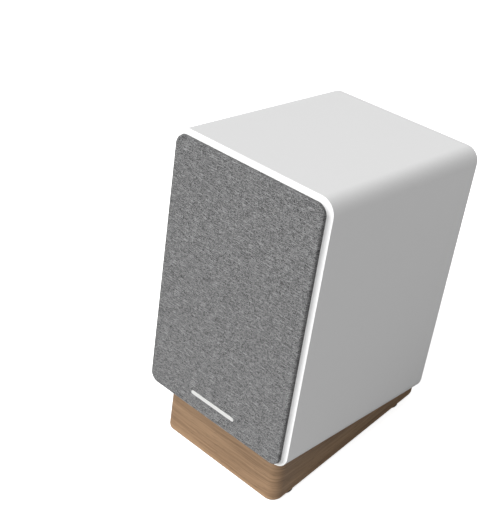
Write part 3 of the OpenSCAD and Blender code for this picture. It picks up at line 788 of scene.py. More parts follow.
set_in_rows, g, given, end = geometry_tree("set_in_rows", [
    ("Item", "NodeSocketObject", None), ("Across", "NodeSocketInt", 2), ("Up", "NodeSocketInt", 2),
    ("Width", "NodeSocketFloat", 0.1), ("Height", "NodeSocketFloat", 0.1),
                                                           ("Turn", "NodeSocketFloat", 0.7),
    ("Finish", "NodeSocketMaterial", None)])
grid = g.add("GeometryNodeMeshGrid", {"Size X": given["Width"], "Size Y": given["Height"],
                                      "Vertices X": given["Across"], "Vertices Y": given["Up"]})
number = g.add("GeometryNodeInputIndex").outputs[0]
spin = g.combine(z=g.maths("MULTIPLY", number, given["Turn"]))
place_items(g, grid.outputs[0], given["Item"], spin, given["Finish"], end)

flutes, g, given, end = geometry_tree("flutes", [
    ("Count", "NodeSocketInt", 24), ("Depth", "NodeSocketFloat", 0.0005),
                                                 ("Inner Radius", "NodeSocketFloat", 0.009)])
spot = g.add("GeometryNodeInputPosition").outputs[0]
xyz = g.add("ShaderNodeSeparateXYZ", {0: spot})
flat_spot = g.combine(xyz.outputs[0], xyz.outputs[1])
radius = g.add("ShaderNodeVectorMath", {0: flat_spot}, operation="LENGTH").outputs["Value"]
angle = g.maths("ARCTAN2", xyz.outputs[1], xyz.outputs[0])
wave = g.maths("COSINE", g.maths("MULTIPLY", angle, given["Count"]))
groove = g.maths("MULTIPLY", g.spread(wave, 0.0, 1.0), given["Depth"])
groove = g.maths("MULTIPLY", groove, g.maths("GREATER_THAN", radius, given["Inner Radius"]))
direction = g.vector("NORMALIZE", flat_spot)
offset = g.scaled(direction, g.maths("MULTIPLY", groove, -1.0))
moved = g.add("GeometryNodeSetPosition", {"Geometry": given["Geometry"], "Offset": offset})
g.link(moved.outputs[0], end.inputs[0])

small_parts, g, given, end = geometry_tree("small_parts", [
    ("Seed", "NodeSocketInt", 7), ("Width", "NodeSocketFloat", 0.04), ("Height", "NodeSocketFloat", 0.02),
    ("Across", "NodeSocketInt", 9), ("Up", "NodeSocketInt", 5), ("Finish", "NodeSocketMaterial", None)])
grid = g.add("GeometryNodeMeshGrid", {"Size X": given["Width"], "Size Y": given["Height"],
                                      "Vertices X": given["Across"], "Vertices Y": given["Up"]})
points = g.add("GeometryNodeMeshToPoints", {"Mesh": grid.outputs[0]})
cube = g.add("GeometryNodeMeshCube", {"Size": (2.2 * MM, 1.4 * MM, 1.2 * MM)})
size = g.add("FunctionNodeRandomValue",
             {"Min": (0.6, 0.6, 0.5), "Max": (1.5, 1.6, 1.6), "Seed": given["Seed"]},
             data_type="FLOAT_VECTOR").outputs[0]
chips = g.add("GeometryNodeInstanceOnPoints",
              {"Points": points.outputs[0], "Instance": cube.outputs[0], "Scale": size})
real = g.add("GeometryNodeRealizeInstances", {"Geometry": chips.outputs[0]})
painted = g.add("GeometryNodeSetMaterial", {"Geometry": real.outputs[0], "Material": given["Finish"]})
g.link(painted.outputs[0], end.inputs[0])


def spread_out(name, item, tree, values, place, material):
    """Runs one of the placing trees on an empty mesh, then moves the result into place."""
    obj = add_object(name, bpy.data.meshes.new(name))
    run_tree(obj, tree, {"Item": item, "Finish": material, **values})
    bpy.data.objects.remove(item)
    obj.data.transform(place)
    return shade(obj)


def screw_item(name, head, height, shank, length):
    """A round-headed screw with a six-sided socket, pointing up local z, in mm."""
    outer = eased([(head, 0), (head, height * 0.55), (head * 0.82, height), (head * 0.52, height)], 0.25,
                  2, False)
    angles = [math.tau * n / 24 for n in range(24)]
    rings = [[(r * MM * math.cos(a), r * MM * math.sin(a), z * MM) for a in angles]
             for r, z in [(shank, -length), (shank, 0)] + outer]

    def six(a):
        """Radius of a hexagon at an angle."""
        return head * 0.5 * math.cos(math.pi / 6) / math.cos((a + math.pi / 6) % (math.pi / 3) - math.pi / 6)

    for z in (height, height * 0.25):
        rings.append([(six(a) * MM * math.cos(a), six(a) * MM * math.sin(a), z * MM) for a in angles])
    return shade(from_rings(name, rings, Matrix.Identity(4)))


print("node trees:", [tree.name for tree in bpy.data.node_groups if tree.bl_idname == "GeometryNodeTree"])

# %% [markdown]
# ## Cabinet, rear panel and baffle
# The cabinet is one tube. Its front edge slopes in to the grille and is softly rounded on both sides,
# as it is when a lacquered board edge is sanded between coats. The ring just inside each rounded edge
# keeps the flat faces truly flat.

# %% Cabinet
RIM_DEPTH, RIM_WIDTH, CORNER = 3.1, 3.5, 12 * MM
depth = shell_d / MM
HOLLOW = math.radians(45)                      # the slope is slightly hollow, so its lip faces forward
chord = math.hypot(RIM_DEPTH, RIM_WIDTH)
tilt_of_slope = math.atan2(RIM_DEPTH, RIM_WIDTH)
hollow_r = chord / 2 / math.sin(HOLLOW)
slope = []
for k in range(13):
    a = HOLLOW * (2 * k / 12 - 1)
    run = chord / 2 + hollow_r * math.sin(a)
    sink_in = hollow_r * (math.cos(a) - math.cos(HOLLOW))
    slope.append((run * math.cos(tilt_of_slope) + sink_in * math.sin(tilt_of_slope),
                  RIM_DEPTH - run * math.sin(tilt_of_slope) + sink_in * math.cos(tilt_of_slope)))
edge = eased([(0, 9.0)] + slope + [(RIM_WIDTH, 8.0)], 0.3, 3, False)
back_edge = eased([(10, depth - 8), (10, depth), (0, depth), (0, depth - 8)], 0.8, 4, False)
tube = edge + [(RIM_WIDTH, 20), (10, 20), (10, 24)] + back_edge
cabinet = board("cabinet", shell_w, shell_h, CORNER, shell_h / 2, tube, closed=True)
insert_low, insert_high = inside("threaded_inserts")
for_inserts = [turned("hole", [(0, -2), (4.55, -2), (4.55, 10.5), (0, 10.5)],
                      own @ Matrix.Translation((0, y, 0)), closed=False)
               for y in (insert_low.y + 4.5 * MM, insert_high.y - 4.5 * MM)]
carve(cabinet, for_inserts)
finish(cabinet, "white_lacquer", "cabinet", "cabinet_shell")
for node, width in (("rear_panel", 0.5), ("front_baffle", 0.35), ("baffle_magnets", 0.25),
                    ("woofer_basket", 0.4), ("woofer_gasket", 0.1), ("woofer_terminals", 0.2),
                    ("amp_panel", 0.3), ("transformer", 0.8), ("stand_pad", 0.2), ("stand_bolts", 0.3)):
    softened(node, width)
for node in ("threaded_inserts", "amp_standoffs", "amp_board"):
    keep(node)
print("cabinet", len(cabinet.data.polygons), "faces")

# %% [markdown]
# ## Wedge and feet
# The wedge leans with the cabinet but ends in a level face above the table. Each ring of its side is
# therefore measured from that level face. The lower edge is rounded over, and the walnut finish paints
# a pale highlight along it.

# %% Wedge and feet
wedge_low, wedge_high = inside("stand_wedge")
wedge_w = wedge_high.x - wedge_low.x
wedge_d = wedge_high.y - wedge_low.y
wedge_mid = (wedge_high.y + wedge_low.y) / 2
foot_height = min(v.co.z for v in frame["nodes"]["stand_wedge"].data.vertices)
WEDGE_CORNER, ROUNDOVER = 9.5, 2.6


def wedge_ring(inset, above=None):
    """One ring of the wedge: at its top, or at a height in mm above its level underside."""
    ring = []
    for x, y in rounded_outline(wedge_w - 2 * inset * MM, wedge_d - 2 * inset * MM,
                                (WEDGE_CORNER - inset) * MM, 12):
        point = Vector((x, y + wedge_mid, wedge_high.z))
        if above is not None:
            level = own @ point
            point.z -= (level.z - foot_height - above * MM) / math.cos(lean)
        ring.append(tuple(point))
    return ring


rings = [wedge_ring(0.6), wedge_ring(0.15)]
rings.append([(x, y, z - 0.4 * MM) for x, y, z in wedge_ring(0)])
rings.append(wedge_ring(0, ROUNDOVER + 0.4))
for k in range(9):
    a = math.radians(90 * k / 8)
    rings.append(wedge_ring(ROUNDOVER * (1 - math.cos(a)), ROUNDOVER * (1 - math.sin(a))))
rings.append(wedge_ring(ROUNDOVER + 0.6, 0))
wedge = from_rings("wedge", rings, own)
foot_low, foot_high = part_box("stand_feet")
foot_r = 8 * MM
foot_places = [(x, y) for x in (foot_low.x + foot_r,
                                foot_high.x - foot_r) for y in (foot_low.y + foot_r,
                                                                foot_high.y - foot_r)]
cutters = [turned("cut", [(0, -3), (8.1, -3), (8.1, 4.55), (1.85, 4.55), (1.85, 15), (0, 15)],
                  Matrix.Translation((x, y, 0)), closed=False) for x, y in foot_places]
bolt_low, bolt_high = inside("stand_bolts")
cutters += [turned("cut", [(0, -80), (6.5, -80), (6.5, -16), (3.2, -16), (3.2, 3), (0, 3)],
                   own @ Matrix.Translation((0, y, 0)), closed=False)
            for y in (bolt_low.y + 5 * MM, bolt_high.y - 5 * MM)]
carve(wedge, cutters)
finish(wedge, "walnut", "cabinet", "stand_wedge")

feet = joined("feet", [turned("foot", [(2, 2), (2, 4.5), (8, 4.5), (8, 0), (4, 0), (4, 2)],
                              Matrix.Translation((x, y, 0)), ease=0.7, steps=48) for x, y in foot_places])
finish(feet, "foot_rubber", "cabinet", "stand_feet")
foot_middle = Vector(((foot_low.x + foot_high.x) / 2, (foot_low.y + foot_high.y) / 2, 2 * MM))
foot_span = (foot_high - foot_low) - Vector((2 * foot_r, 2 * foot_r, 0))
wood_screw = screw_item("wood_screw", 3.6, 1.2, 1.75, 11)
foot_screws = spread_out("foot_screws", wood_screw, set_in_rows,
                         {"Width": foot_span.x, "Height": foot_span.y},
                         Matrix.Translation(foot_middle) @ Matrix.Rotation(math.pi, 4, "X"),
                         FINISH["plated_steel"])
finish(foot_screws, "plated_steel", "cabinet", "stand_foot_screws")
print("wedge", len(wedge.data.polygons), "faces; feet at",
      [tuple(round(v / MM) for v in p) for p in foot_places])

# %% [markdown]
# ## Grille
# Cloth is stretched over the frame, so its edge is round where it turns back over the frame's side.
# Its UVs are the cloth laid flat, which keeps the weave the same size round that edge.

# %% Grille
cloth_low, cloth_high = inside("grille_cloth")
cloth_w, cloth_h = cloth_high.x - cloth_low.x, cloth_high.z - cloth_low.z
front, hem = cloth_low.y / MM, cloth_high.y / MM
THICK, FOLD = 0.7, 1.5
fold = [(FOLD - FOLD * math.cos(math.radians(a)), front + FOLD - FOLD * math.sin(math.radians(a)))
        for a in range(90, -1, -10)]
outer = [(60, front), (FOLD + 1.2, front)] + fold + [(0, (front + hem) / 2), (0, hem)]
inner = [(THICK, hem), (THICK, front + FOLD)]
inner += [(x + THICK * math.cos(math.radians(a)), y + THICK * math.sin(math.radians(a)))
          for (x, y), a in list(zip(fold, range(90, -1, -10)))[-2:0:-1]]
inner += [(FOLD + 1.2, front + THICK), (60, front + THICK)]
flat_insets, walked = [], 0.0
for k, point in enumerate(outer):
    walked += math.dist(outer[k - 1], point) if k else 0.0
    flat_insets.append(60 - walked)
flat_insets += [flat_insets[-1] + math.dist(inner[0], point) for point in inner]
cloth = board("cloth", cloth_w, cloth_h, 8.2 * MM, (cloth_low.z + cloth_high.z) / 2, outer + inner,
              flat=flat_insets)
finish(cloth, "grille_fabric", "grille", "grille_cloth")
softened("grille_frame", 0.5)
softened("grille_magnets", 0.25)
softened("badge", 0.18)

# %% [markdown]
# ## Woofer
# The cone, its dust cap, the coil former and the coil move together. The surround and the spider bend
# between the cone and the basket, so each gets a weight for every point: 1 on the moving edge, 0 on the
# fixed one, and a smooth change across the roll.


# %% Woofer
def between_bodies(obj, mover, place, moving_r, fixed_r):
    """Makes a ring bend between a moving part inside it and the cabinet outside it."""
    centre = place.translation
    out = (place.to_3x3() @ Vector((0, 0, 1))).normalized()
    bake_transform(obj, "cabinet", mover, centre, centre + out * 0.01)
    attribute = obj.data.attributes["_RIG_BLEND"]
    for vert in obj.data.vertices:
        away = vert.co - centre
        radius = (away - out * away.dot(out)).length
        t = min(max((radius - moving_r * MM) / ((fixed_r - moving_r) * MM), 0), 1)
        attribute.data[vert.index].value = 1 - t * t * (3 - 2 * t)
    return obj


woofer_low, woofer_high = inside("woofer_basket")
woofer_z = (woofer_low.z + woofer_high.z) / 2 / MM
woofer = matrix_on_baffle(woofer_z)
CONE_BODY = "woofer_cone_assembly"
FLANGE = -3.5
cone_side = [(12.7 + 25.0 * t,
              -20.9 + 17.2 * t - 2.2 * math.sin(math.pi * t)) for t in [k / 12 for k in range(13)]]
cone = turned("cone", [(12.75, -22), (13.4, -22)] + [(r + 0.5, z - 0.9) for r, z in cone_side[1:]]
              + [(38.4, -3.55), (37.5, -3.5)] + cone_side[::-1][1:], woofer, steps=144)
finish(cone, "cone_paper", CONE_BODY, "woofer_cone")
ball = math.sqrt(22 ** 2 - 16 ** 2)
cap_side = [(22 * math.cos(math.radians(a)), -18.4 - ball + 22 * math.sin(math.radians(a)))
            for a in (43.4 + 46.6 * k / 14 for k in range(15))]
cap_inner = [(max(r - 0.6 * r / 22, 0), z - 0.6) for r, z in cap_side]
cap_profile = [(0, cap_side[-1][1])] + cap_side[-2::-1] + [(15.2, -18.4)]
cap_profile += cap_inner[1:-1] + [(0, cap_inner[-1][1])]
cap = turned("dust_cap", cap_profile, woofer, closed=False)
finish(cap, "cone_paper", CONE_BODY, "woofer_dust_cap")

roll = arc((42.6, FLANGE), 4.4, 180, 0, 16)
roll_inner = arc((42.6, FLANGE), 3.8, 0, 180, 16)
SKIN = 0.6                                     # thickness of the rubber, mm
inner_lip = [(36.8, FLANGE), (36.8, FLANGE + SKIN), (37.9, FLANGE + SKIN)]
outer_lip = [(47.3, FLANGE + SKIN), (50.5, FLANGE + SKIN), (50.5, FLANGE)]
surround_side = inner_lip + roll[2:-2] + outer_lip + roll_inner[1:-1]
surround = turned("surround", surround_side, woofer, steps=144, ease=0.25)
between_bodies(surround, CONE_BODY, woofer, 38.6, 46.8)
finish(surround, "surround_rubber", None, "woofer_surround")

waves = [(12.75 + 13.25 * k / 48, 0.7 * math.sin(math.tau * 4 * k / 48)) for k in range(49)]
spider = turned("spider", [(r, -26.45 + h) for r, h in waves] + [(33, -26.4), (33, -26.95)]
                + [(r, -26.95 + h) for r, h in reversed(waves)], woofer, steps=96)
between_bodies(spider, CONE_BODY, woofer, 13.2, 26.8)
finish(spider, "spider_cloth", None, "woofer_spider")

former = turned("coil_former", [(12.3, -45), (12.7, -45), (12.7, -21), (12.3, -21)], woofer)
finish(former, "former_film", CONE_BODY, "woofer_coil_former")
winding = [(13.06 + 0.22 * math.cos(math.pi * k), -44.4 + 0.25 * k) for k in range(48)]
coil = turned("voice_coil", [(12.72, -44.45)] + winding + [(12.72, -32.6)], woofer)
finish(coil, "copper_wire", CONE_BODY, "woofer_voice_coil")
top_plate = turned("top_plate", [(13.8, -41), (36, -41), (36, -36), (13.8, -36)], woofer, ease=0.4)
finish(top_plate, "plated_steel", "cabinet", "woofer_top_plate")
magnet = turned("magnet", [(18, -56), (40, -56), (40, -41), (18, -41)], woofer, ease=1.0)
finish(magnet, "ferrite", "cabinet", "woofer_magnet")
softened("woofer_back_plate", 0.4)
screw = screw_item("driver_screw", 2.9, 1.6, 1.6, 11)
woofer_screws = spread_out("woofer_screws", screw, set_round,
                           {"Count": 4, "Radius": 53.6 * MM, "First Angle": math.pi / 4},
                           woofer @ Matrix.Translation((0, 0, FLANGE * MM)), FINISH["black_steel"])
finish(woofer_screws, "black_steel", "cabinet", "woofer_screws")
print("woofer centre", round(woofer_z, 2), "mm up; cone", len(cone.data.polygons), "faces")

# %% [markdown]
# ## Tweeter
# A small cloth dome at the bottom of a short flare. The flare is cut into the faceplate.

# %% Tweeter
plate_low, plate_high = inside("tweeter_faceplate")
tweeter_z = (plate_low.z + plate_high.z) / 2 / MM
tweeter = matrix_on_baffle(tweeter_z)
DOME_BODY = "tweeter_dome_assembly"
mouth = [(22 - 6.4 * math.sin(math.radians(a)),
          -2.5 * (1 - math.cos(math.radians(a)))) for a in range(0, 91, 9)]
plate = turned("faceplate", eased([(15.6, -4), (34, -4), (34, 0), (23.2, 0)], 0.5, closed=False) + mouth,
               tweeter, steps=144)
SCREW_CIRCLE = 30 * MM


def plate_holes(profile):
    """Cutters for the four screws of the faceplate."""
    return [turned("hole", profile, tweeter @ Matrix.Rotation(math.radians(45 + 90 * k), 4, "Z")
                   @ Matrix.Translation((SCREW_CIRCLE, 0, 0)), closed=False, steps=32) for k in range(4)]


head_sinks = plate_holes([(0, -1.7), (3.0, -1.7), (3.0, 1), (0, 1)])
for shank_hole in plate_holes([(0, -5), (1.7, -5), (1.7, -1), (0, -1)]):
    carve(plate, [shank_hole])
carve(plate, head_sinks)
finish(plate, "black_plastic", "cabinet", "tweeter_faceplate")
tweeter_screws = spread_out("tweeter_screws", screw_item("tweeter_screw", 2.8, 1.5, 1.6, 11), set_round,
                            {"Count": 4, "Radius": SCREW_CIRCLE, "First Angle": math.pi / 4},
                            tweeter @ Matrix.Translation((0, 0, -1.7 * MM)), FINISH["black_steel"])
finish(tweeter_screws, "black_steel", "cabinet", "tweeter_screws")
ball = math.sqrt(15 ** 2 - 12 ** 2)
dome_side = [(15 * math.cos(math.radians(a)), -3.4 - ball + 15 * math.sin(math.radians(a)))
             for a in (36.9 + 53.1 * k / 14 for k in range(15))]
dome_inner = [(r * 14.6 / 15, z - 0.4) for r, z in dome_side]
dome_profile = [(0, dome_side[-1][1])] + dome_side[-2::-1] + [(11.6, -3.4)]
dome_profile += dome_inner[1:-1] + [(0, dome_inner[-1][1])]
dome = turned("dome", dome_profile, tweeter, closed=False)
finish(dome, "dome_fabric", DOME_BODY, "tweeter_dome")
roll = arc((13.6, -4.3), 1.5, 172, 12, 12)
roll_inner = arc((13.6, -4.3), 1.2, 12, 168, 12)
glued_lip = [(11.7, -2.99), (11.7, -2.95), (12.1, -3.12), (12.4, -3.22)]
clamped_rim = [(15.2, -4.0), (17.5, -4.0), (17.5, -4.3), (15.0, -4.3)]
underside_of_lip = [(12.32, -3.6), (12.3, -3.36), (12.02, -3.36)]
ring_side = glued_lip + roll[3:-1] + clamped_rim + roll_inner[1:-2] + underside_of_lip
dome_surround = turned("dome_surround", ring_side, tweeter)
between_bodies(dome_surround, DOME_BODY, tweeter, 12.4, 15.0)
finish(dome_surround, "surround_rubber", None, "tweeter_surround")
for node, width in (("tweeter_voice_coil", 0.05), ("tweeter_top_plate", 0.2), ("tweeter_magnet", 0.4),
                    ("tweeter_yoke", 0.3)):
    softened(node, width)
print("tweeter centre", round(tweeter_z, 2), "mm up")

# %% [markdown]
# ## Port, knob, posts and sockets on the back

# %% Port and volume knob
port_low, port_high = inside("port_tube")
port_z = (port_low.z + port_high.z) / 2 / MM
port = matrix_on_back(0, port_z)
flare = [(17 + 8 * (1 - math.cos(math.radians(a))),
          2 - 8 * (1 - math.sin(math.radians(a)))) for a in range(0, 91, 6)]
tube_profile = [(17, -76), (19, -76), (19, -11), (25.3, -8), (25.3, 0.02), (28, 0.02), (28, 1.4),
                (27.7, 1.85), (27.2, 2)]
port_piece = turned("port", tube_profile + flare[::-1], port, steps=128)
finish(port_piece, "black_plastic", "cabinet", "port_tube")
print("port centre", round(port_z, 1), "mm up")

knob_low, knob_high = inside("volume_knob")
knob_place = matrix_on_back((knob_low.x + knob_high.x) / 2 / MM, (knob_low.z + knob_high.z) / 2 / MM)
top_side = [(0, 11.5), (6.5, 11.6), (7.6, 12), (9.4, 12), (10.3, 11.4), (10.5, 10.6)]
top_side += [(10.5, z) for z in (9.5, 8, 6, 4, 2.4)]
bottom_side = [(10.3, 1.3), (9.9, 1), (6.6, 1), (6.6, 3.6), (3.02, 3.6), (3.02, 10), (0, 10)]
knob = turned("knob", top_side + bottom_side, Matrix.Identity(4), closed=False, steps=288)
run_tree(knob, flutes, {"Count": 24, "Depth": 0.55 * MM, "Inner Radius": 10.35 * MM})
knob.data.transform(knob_place)
shade(knob, 40)
finish(knob, "knob_plastic", "volume_control", "volume_knob")
for node, width in (("volume_encoder", 0.15), ("volume_shaft", 0.2), ("pair_button", 0.3),
                    ("pair_switch", 0.3),
                    ("rocker_housing", 0.4), ("power_rocker", 0.5)):
    softened(node, width)
print("knob", len(knob.data.polygons), "faces")


# %% [markdown]
# A binding post is a brass stud with a flange, a brass sleeve that slides on it, and a fluted cap that
# turns on the sleeve. The three phono jacks differ only in place and in the colour of their insert.


# %% Binding posts and phono jacks
def middle_on_back(node):
    low, high = inside(node)
    return (low.x + high.x) / 2 / MM, (low.z + high.z) / 2 / MM


post_places = {colour: matrix_on_back(*middle_on_back(colour + "_post_cap")) for colour in ("red", "black")}
studs, flanges = [], []
for colour, place in post_places.items():
    stud = [(0, 1), (2, 1), (2, 14), (3, 14), (3, 0.5), (5, 0.5), (5, -8), (3, -8), (3, -13), (0, -13)]
    studs.append(turned("stud", stud, place, closed=False, steps=64, ease=0.2))
    flange = [(5.05, 0.02), (6.5, 0.02), (6.5, 2.4), (3.1, 2.4), (3.1, 0.55), (5.05, 0.55)]
    flanges.append(turned("flange", flange, place, steps=64, ease=0.3))
    sleeve = turned(colour + "_sleeve", [(3.08, 2.8), (4.2, 2.8), (4.2, 12.6), (3.08, 12.6)], place,
                    steps=64, ease=0.2)
    finish(sleeve, "brass", colour + "_post_nut", colour + "_post_sleeve")
    grip = turned(colour + "_grip",
                  [(3.08, 15.6), (3.08, 13.1), (4.26, 13.1), (4.26, 2.9), (6.1, 2.9), (6.4, 3.3)]
                  + [(6.4, z) for z in (5, 7, 9, 11, 13, 14.2)] + [(6.1, 15.2), (5.5, 15.6)],
                  Matrix.Identity(4), steps=192)
    run_tree(grip, flutes, {"Count": 12, "Depth": 0.45 * MM, "Inner Radius": 6.25 * MM})
    grip.data.transform(place)
    shade(grip, 40)
    cap_node = colour + "_post_cap"
    finish(grip, SLOT_OF[cap_node], colour + "_post_grip", cap_node)
finish(joined("post_studs", studs), "brass", "cabinet", "binding_posts")
finish(joined("post_flanges", flanges), "black_plastic", "cabinet")

jack_low, jack_high = inside("rca_jacks")
JACK_R = 5.5
left, right = jack_low.x / MM + JACK_R, jack_high.x / MM - JACK_R
bottom, top = jack_low.z / MM + JACK_R, jack_high.z / MM - JACK_R
jacks = {"white": (left, top), "red": (right, top), "black": (right, bottom)}
shells, bases, inserts = [], [], {}
for colour, (x, z) in jacks.items():
    place = matrix_on_back(x, z)
    shells.append(turned("shell", [(2.9, 0.1), (4.15, 0.1), (4.15, 8), (2.9, 8)], place, steps=64,
                         ease=0.25))
    base = [(0, -9), (1.6, -9), (1.6, 0.05), (5.5, 0.05), (5.5, -14.4), (0, -14.4)]
    bases.append(turned("base", base, place, closed=False, steps=64))
    inserts[colour] = turned("insert", [(1.6, 0.1), (2.88, 0.1), (2.88, 6.5), (1.6, 6.5)], place,
                             steps=64, ease=0.2)
finish(joined("jack_shells", shells), "brass", "cabinet", "rca_jacks")
finish(joined("jack_bases", bases), "black_plastic", "cabinet")
finish(inserts["white"], "white_lacquer", "cabinet").name = "left_insert"
finish(inserts["red"], "red_plastic", "cabinet").name = "right_insert"
finish(inserts["black"], "black_plastic", "cabinet").name = "sub_insert"
print("posts", list(post_places), "jacks", list(jacks))


# %% [markdown]
# The optical and the USB socket are one CAD part made of two solids, and each needs its own finish.
# *loose_parts* follows shared edges from face to face to tell the solids apart.


# %% Mains inlet and digital sockets
def loose_parts(node, width):
    """The separate solids of a CAD part, softened, largest first."""
    whole = soften(node, width)
    bm = bmesh.new()
    bm.from_mesh(whole.data)
    groups = []
    grouped = set()
    for face in bm.faces:
        if face.index in grouped:
            continue
        waiting, group = [face], []
        grouped.add(face.index)
        while waiting:
            here = waiting.pop()
            group.append(here.index)
            for edge_of_face in here.edges:
                for other in edge_of_face.link_faces:
                    if other.index not in grouped:
                        grouped.add(other.index)
                        waiting.append(other)
        groups.append(group)
    bm.free()
    groups.sort(key=len, reverse=True)
    made = []
    for group in groups:
        members = set(group)
        part = bmesh.new()
        part.from_mesh(whole.data)
        bmesh.ops.delete(part, geom=[f for f in part.faces if f.index not in members], context="FACES")
        mesh = bpy.data.meshes.new(node + "_part")
        part.to_mesh(mesh)
        part.free()
        made.append(shade(add_object(node + "_part", mesh), 40))
    bpy.data.objects.remove(whole)
    return made


def size_of(obj):
    points = [own_inverse @ v.co for v in obj.data.vertices]
    return Vector([max(p[i] for p in points) - min(p[i] for p in points) for i in range(3)])


softened("mains_inlet", 0.35)
inlet_low, inlet_high = inside("mains_inlet")
inlet_middle = (inlet_low + inlet_high) / 2 / MM
pins = [turned("pin", [(0, -11.4), (1.25, -11.4), (1.25, -2.6), (0.95, -2.05), (0, -1.95)],
               matrix_on_back(inlet_middle.x + side, inlet_middle.z), closed=False, steps=32)
        for side in (-4.3, 4.3)]
finish(joined("inlet_pins", pins), "plated_steel", "cabinet")
socket_parts = sorted(loose_parts("digital_sockets", 0.15), key=lambda o: size_of(o).z)
finish(socket_parts[-1], "black_plastic", "cabinet", "digital_sockets").name = "optical_socket"
finish(joined("usb_socket", socket_parts[:-1]), "plated_steel", "cabinet")
panel_low, panel_high = inside("amp_panel_screws")
panel_middle = (panel_low + panel_high) / 2
panel_span = (panel_high - panel_low) - Vector((5.6, 0, 5.6)) * MM
panel_screws = spread_out("panel_screws", screw_item("panel_screw", 2.8, 1.6, 1.5, 9), set_in_rows,
                          {"Across": 2, "Up": 3, "Width": panel_span.x, "Height": panel_span.z},
                          matrix_on_back(panel_middle.x / MM, panel_middle.z / MM), FINISH["black_steel"])
finish(panel_screws, "black_steel", "cabinet", "amp_panel_screws")
print("inlet pins", len(pins), "socket parts", len(socket_parts))

# %% [markdown]
# ## Inside the cabinet
# Wadding, leads, capacitors, heat sink and the small parts on the amplifier board.

# %% Wadding
wadding_low, wadding_high = inside("damping_foam")


def pad(name, low, high):
    """A soft block of loose fibre filling a box given by two corners in mm."""
    bm = bmesh.new()
    bmesh.ops.create_cube(bm, size=1)
    bmesh.ops.subdivide_edges(bm, edges=bm.edges, cuts=11, use_grid_fill=True)
    low, high = Vector(low), Vector(high)
    middle, half = (low + high) / 2, (high - low) / 2
    chance = random.Random(name)
    seeds = [Vector((chance.random(), chance.random(), chance.random())) * 9 for _ in range(3)]
    for v in bm.verts:
        u = Vector([c * 2 for c in v.co])
        reach = max(half)
        radius = min(half) * 0.8
        corner = Vector([max(abs(c) * h - (h - radius), 0) * (1 if c > 0 else -1) for c,
                         h in zip(u, half)])
        core = Vector([max(min(c * h, h - radius), -(h - radius)) for c, h in zip(u, half)])
        if corner.length > 1e-9:
            corner = corner.normalized() * radius
        place = core + corner
        lumps = sum(math.sin(place.dot(s) * 0.035 + 2 * s.x) for s in seeds) / 3
        v.co = middle + place * (0.985 - 0.03 * abs(lumps))
    mesh = bpy.data.meshes.new(name)
    bm.to_mesh(mesh)
    bm.free()
    mesh.transform(own @ Matrix.Scale(MM, 4))
    return add_object(name, mesh)


WALL = 64                                      # from the middle to the side wall, mm
PAD = 9                                        # thickness of the wadding, mm
SIDE_START, SIDE_BOTTOM, SIDE_TOP = 28, 16, 192
TOP_INSET, TOP_LENGTH = 14.5, 66
pad_front, pad_back, pad_top = wadding_low.y / MM, wadding_high.y / MM, wadding_high.z / MM
pads = [pad("side", (-WALL, SIDE_START + pad_front, SIDE_BOTTOM), (PAD - WALL, pad_back, SIDE_TOP)),
        pad("other", (WALL - PAD, SIDE_START + pad_front, SIDE_BOTTOM), (WALL, pad_back, SIDE_TOP)),
        pad("top", (TOP_INSET - WALL, pad_front, pad_top - PAD),
            (WALL - TOP_INSET, pad_front + TOP_LENGTH, pad_top))]
lining = joined("lining", pads)
finish(lining, "wadding", "cabinet", "damping_foam")
print("wadding", len(pads), "pads")


# %% [markdown]
# Each lead runs from the amplifier board to a terminal. Cutting the corners of its course three times
# turns straight stretches into an easy bend, much as a soft wire takes it.


# %% Leads
def lead(points, r):
    """A wire through points in mm, rounded at each bend."""
    points = [Vector(p) for p in points]
    for _ in range(3):
        cut = [points[0]]
        for a, b in zip(points, points[1:]):
            cut += [a.lerp(b, 0.25), a.lerp(b, 0.75)]
        points = cut + [points[-1]]
    curve = bpy.data.curves.new("lead", "CURVE")
    curve.dimensions = "3D"
    curve.bevel_depth = r
    curve.bevel_resolution = 2
    curve.use_fill_caps = True
    spline = curve.splines.new("POLY")
    spline.points.add(len(points) - 1)
    for place, point in zip(spline.points, points):
        place.co = (*point, 1)
    obj = add_object("lead", curve)
    bpy.context.view_layer.update()
    mesh = bpy.data.meshes.new_from_object(obj.evaluated_get(bpy.context.evaluated_depsgraph_get()))
    bpy.data.objects.remove(obj)
    mesh.transform(own @ Matrix.Scale(MM, 4))
    return add_object("lead", mesh)


board_low = inside("amp_board")[0]
board_y = board_low.y / MM
leads = []
for x in (-5, 5):
    leads.append(lead([(x, 48.3, 119), (x, 58, 124), (x, 120, 122), (x, board_y - 1, 116)], 1.1))
    leads.append(lead([(1.6 * x, 24.3, tweeter_z), (1.6 * x, 60, 168), (2 * x, 90, 140),
                       (2 * x, board_y - 1, 124)], 1.1))
finish(joined("leads", leads), "wire_jacket", "cabinet", "speaker_leads")
print("leads", len(leads))

# %% [markdown]
# What repeats on the board goes through the placing trees: capacitors and fins in a row, and small
# chips of different sizes over three areas of the board.

# %% Capacitors, heat sink and small parts
can = turned("can", eased([(0, 32), (9, 32), (9, 4.5), (8.4, 3.6), (9, 2.7), (9, 0), (0, 0)], 0.9,
                          closed=False),
             Matrix.Identity(4), closed=False, steps=64)
cap_low, cap_high = inside("filter_capacitors")
cans = spread_out("capacitors", can, set_in_rows,
                  {"Across": 2, "Up": 1, "Width": (cap_high.x - cap_low.x) - 18 * MM, "Height": 0.0},
                  own @ Matrix.Translation(((cap_low.x + cap_high.x) / 2, cap_high.y,
                                            (cap_low.z + cap_high.z) / 2))
                  @ FACING_FRONT, FINISH["capacitor_sleeve"])
finish(cans, "capacitor_sleeve", "cabinet", "filter_capacitors")

sink_low, sink_high = inside("heat_sink")


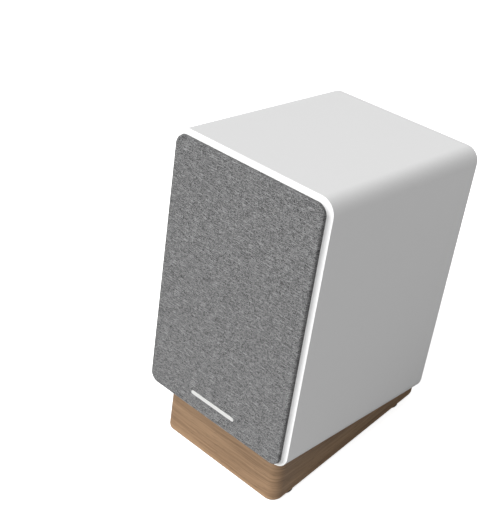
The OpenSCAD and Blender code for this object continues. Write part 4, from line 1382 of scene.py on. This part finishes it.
def bar_between(mesh, w, h, low, high, edge):
    """A bar w by h mm across, from low to high along local z, with rounded edges."""
    bm = bmesh.new()
    place = Matrix.Translation((0, 0, (low + high) / 2 * MM))
    size = Matrix.Diagonal((w * MM, h * MM, (high - low) * MM, 1))
    bmesh.ops.create_cube(bm, size=1, matrix=place @ size)
    bmesh.ops.bevel(bm, geom=bm.edges, offset=edge * MM, segments=2, affect="EDGES")
    bm.to_mesh(mesh)
    bm.free()


fin = add_object("fin", bpy.data.meshes.new("fin"))
bar_between(fin.data, 1.9, 24, 0, 26, 0.4)
sink_place = own @ Matrix.Translation((0, sink_high.y, (sink_low.z + sink_high.z) / 2)) @ FACING_FRONT
fins = spread_out("fins", fin, set_in_rows,
                  {"Across": 9, "Up": 1, "Width": 64 * MM, "Height": 0.0, "Turn": 0.0}, sink_place,
                  FINISH["bare_aluminium"])
sink_base = add_object("sink_base", bpy.data.meshes.new("sink_base"))
bar_between(sink_base.data, 70, 24, 0, 5, 0.5)
sink_base.data.transform(sink_place)
finish(joined("sink", [fins, sink_base]), "bare_aluminium", "cabinet", "heat_sink")

FIRST_SEED = 3
HALF_CHIP = 0.6 * MM
areas = [(24, 62, 36, 24, 9, 6), (0, 114, 56, 10, 13, 3), (-25, 71, 30, 6, 7, 2)]
chips = []
for number, (x, z, width, height, across, up) in enumerate(areas):
    chip = add_object("chips", bpy.data.meshes.new("chips"))
    run_tree(chip, small_parts, {"Seed": number + FIRST_SEED, "Width": width * MM, "Height": height * MM,
                                 "Across": across, "Up": up, "Finish": FINISH["black_plastic"]})
    chip.data.transform(own @ Matrix.Translation((x * MM, board_low.y - HALF_CHIP,
                                                  z * MM)) @ FACING_FRONT)
    chips.append(chip)
finish(joined("board_parts", chips), "black_plastic", "cabinet")
print("inside done")

# %% [markdown]
# ## Flat faces that look flat
# A smooth-shaded bevel bends the light on the big flat face beside it, which shows as faint streaks.
# Weighting each corner's normal by the size of the faces round it keeps the flat faces flat.
# CAD parts, the surrounds and spider, which bend, and the cloth and wadding are left alone.

# %% Even shading
cad_parts = set(frame["nodes"].values())
bending = {cloth, surround, spider, dome_surround, lining}
evened = 0
for piece in list(scene.objects):
    if piece.type != "MESH" or piece in cad_parts or piece in bending or piece.modifiers:
        continue
    even = piece.modifiers.new("even", "WEIGHTED_NORMAL")
    even.keep_sharp = True
    even.weight = 60
    baked(piece)
    evened += 1
print("evened", evened, "pieces")
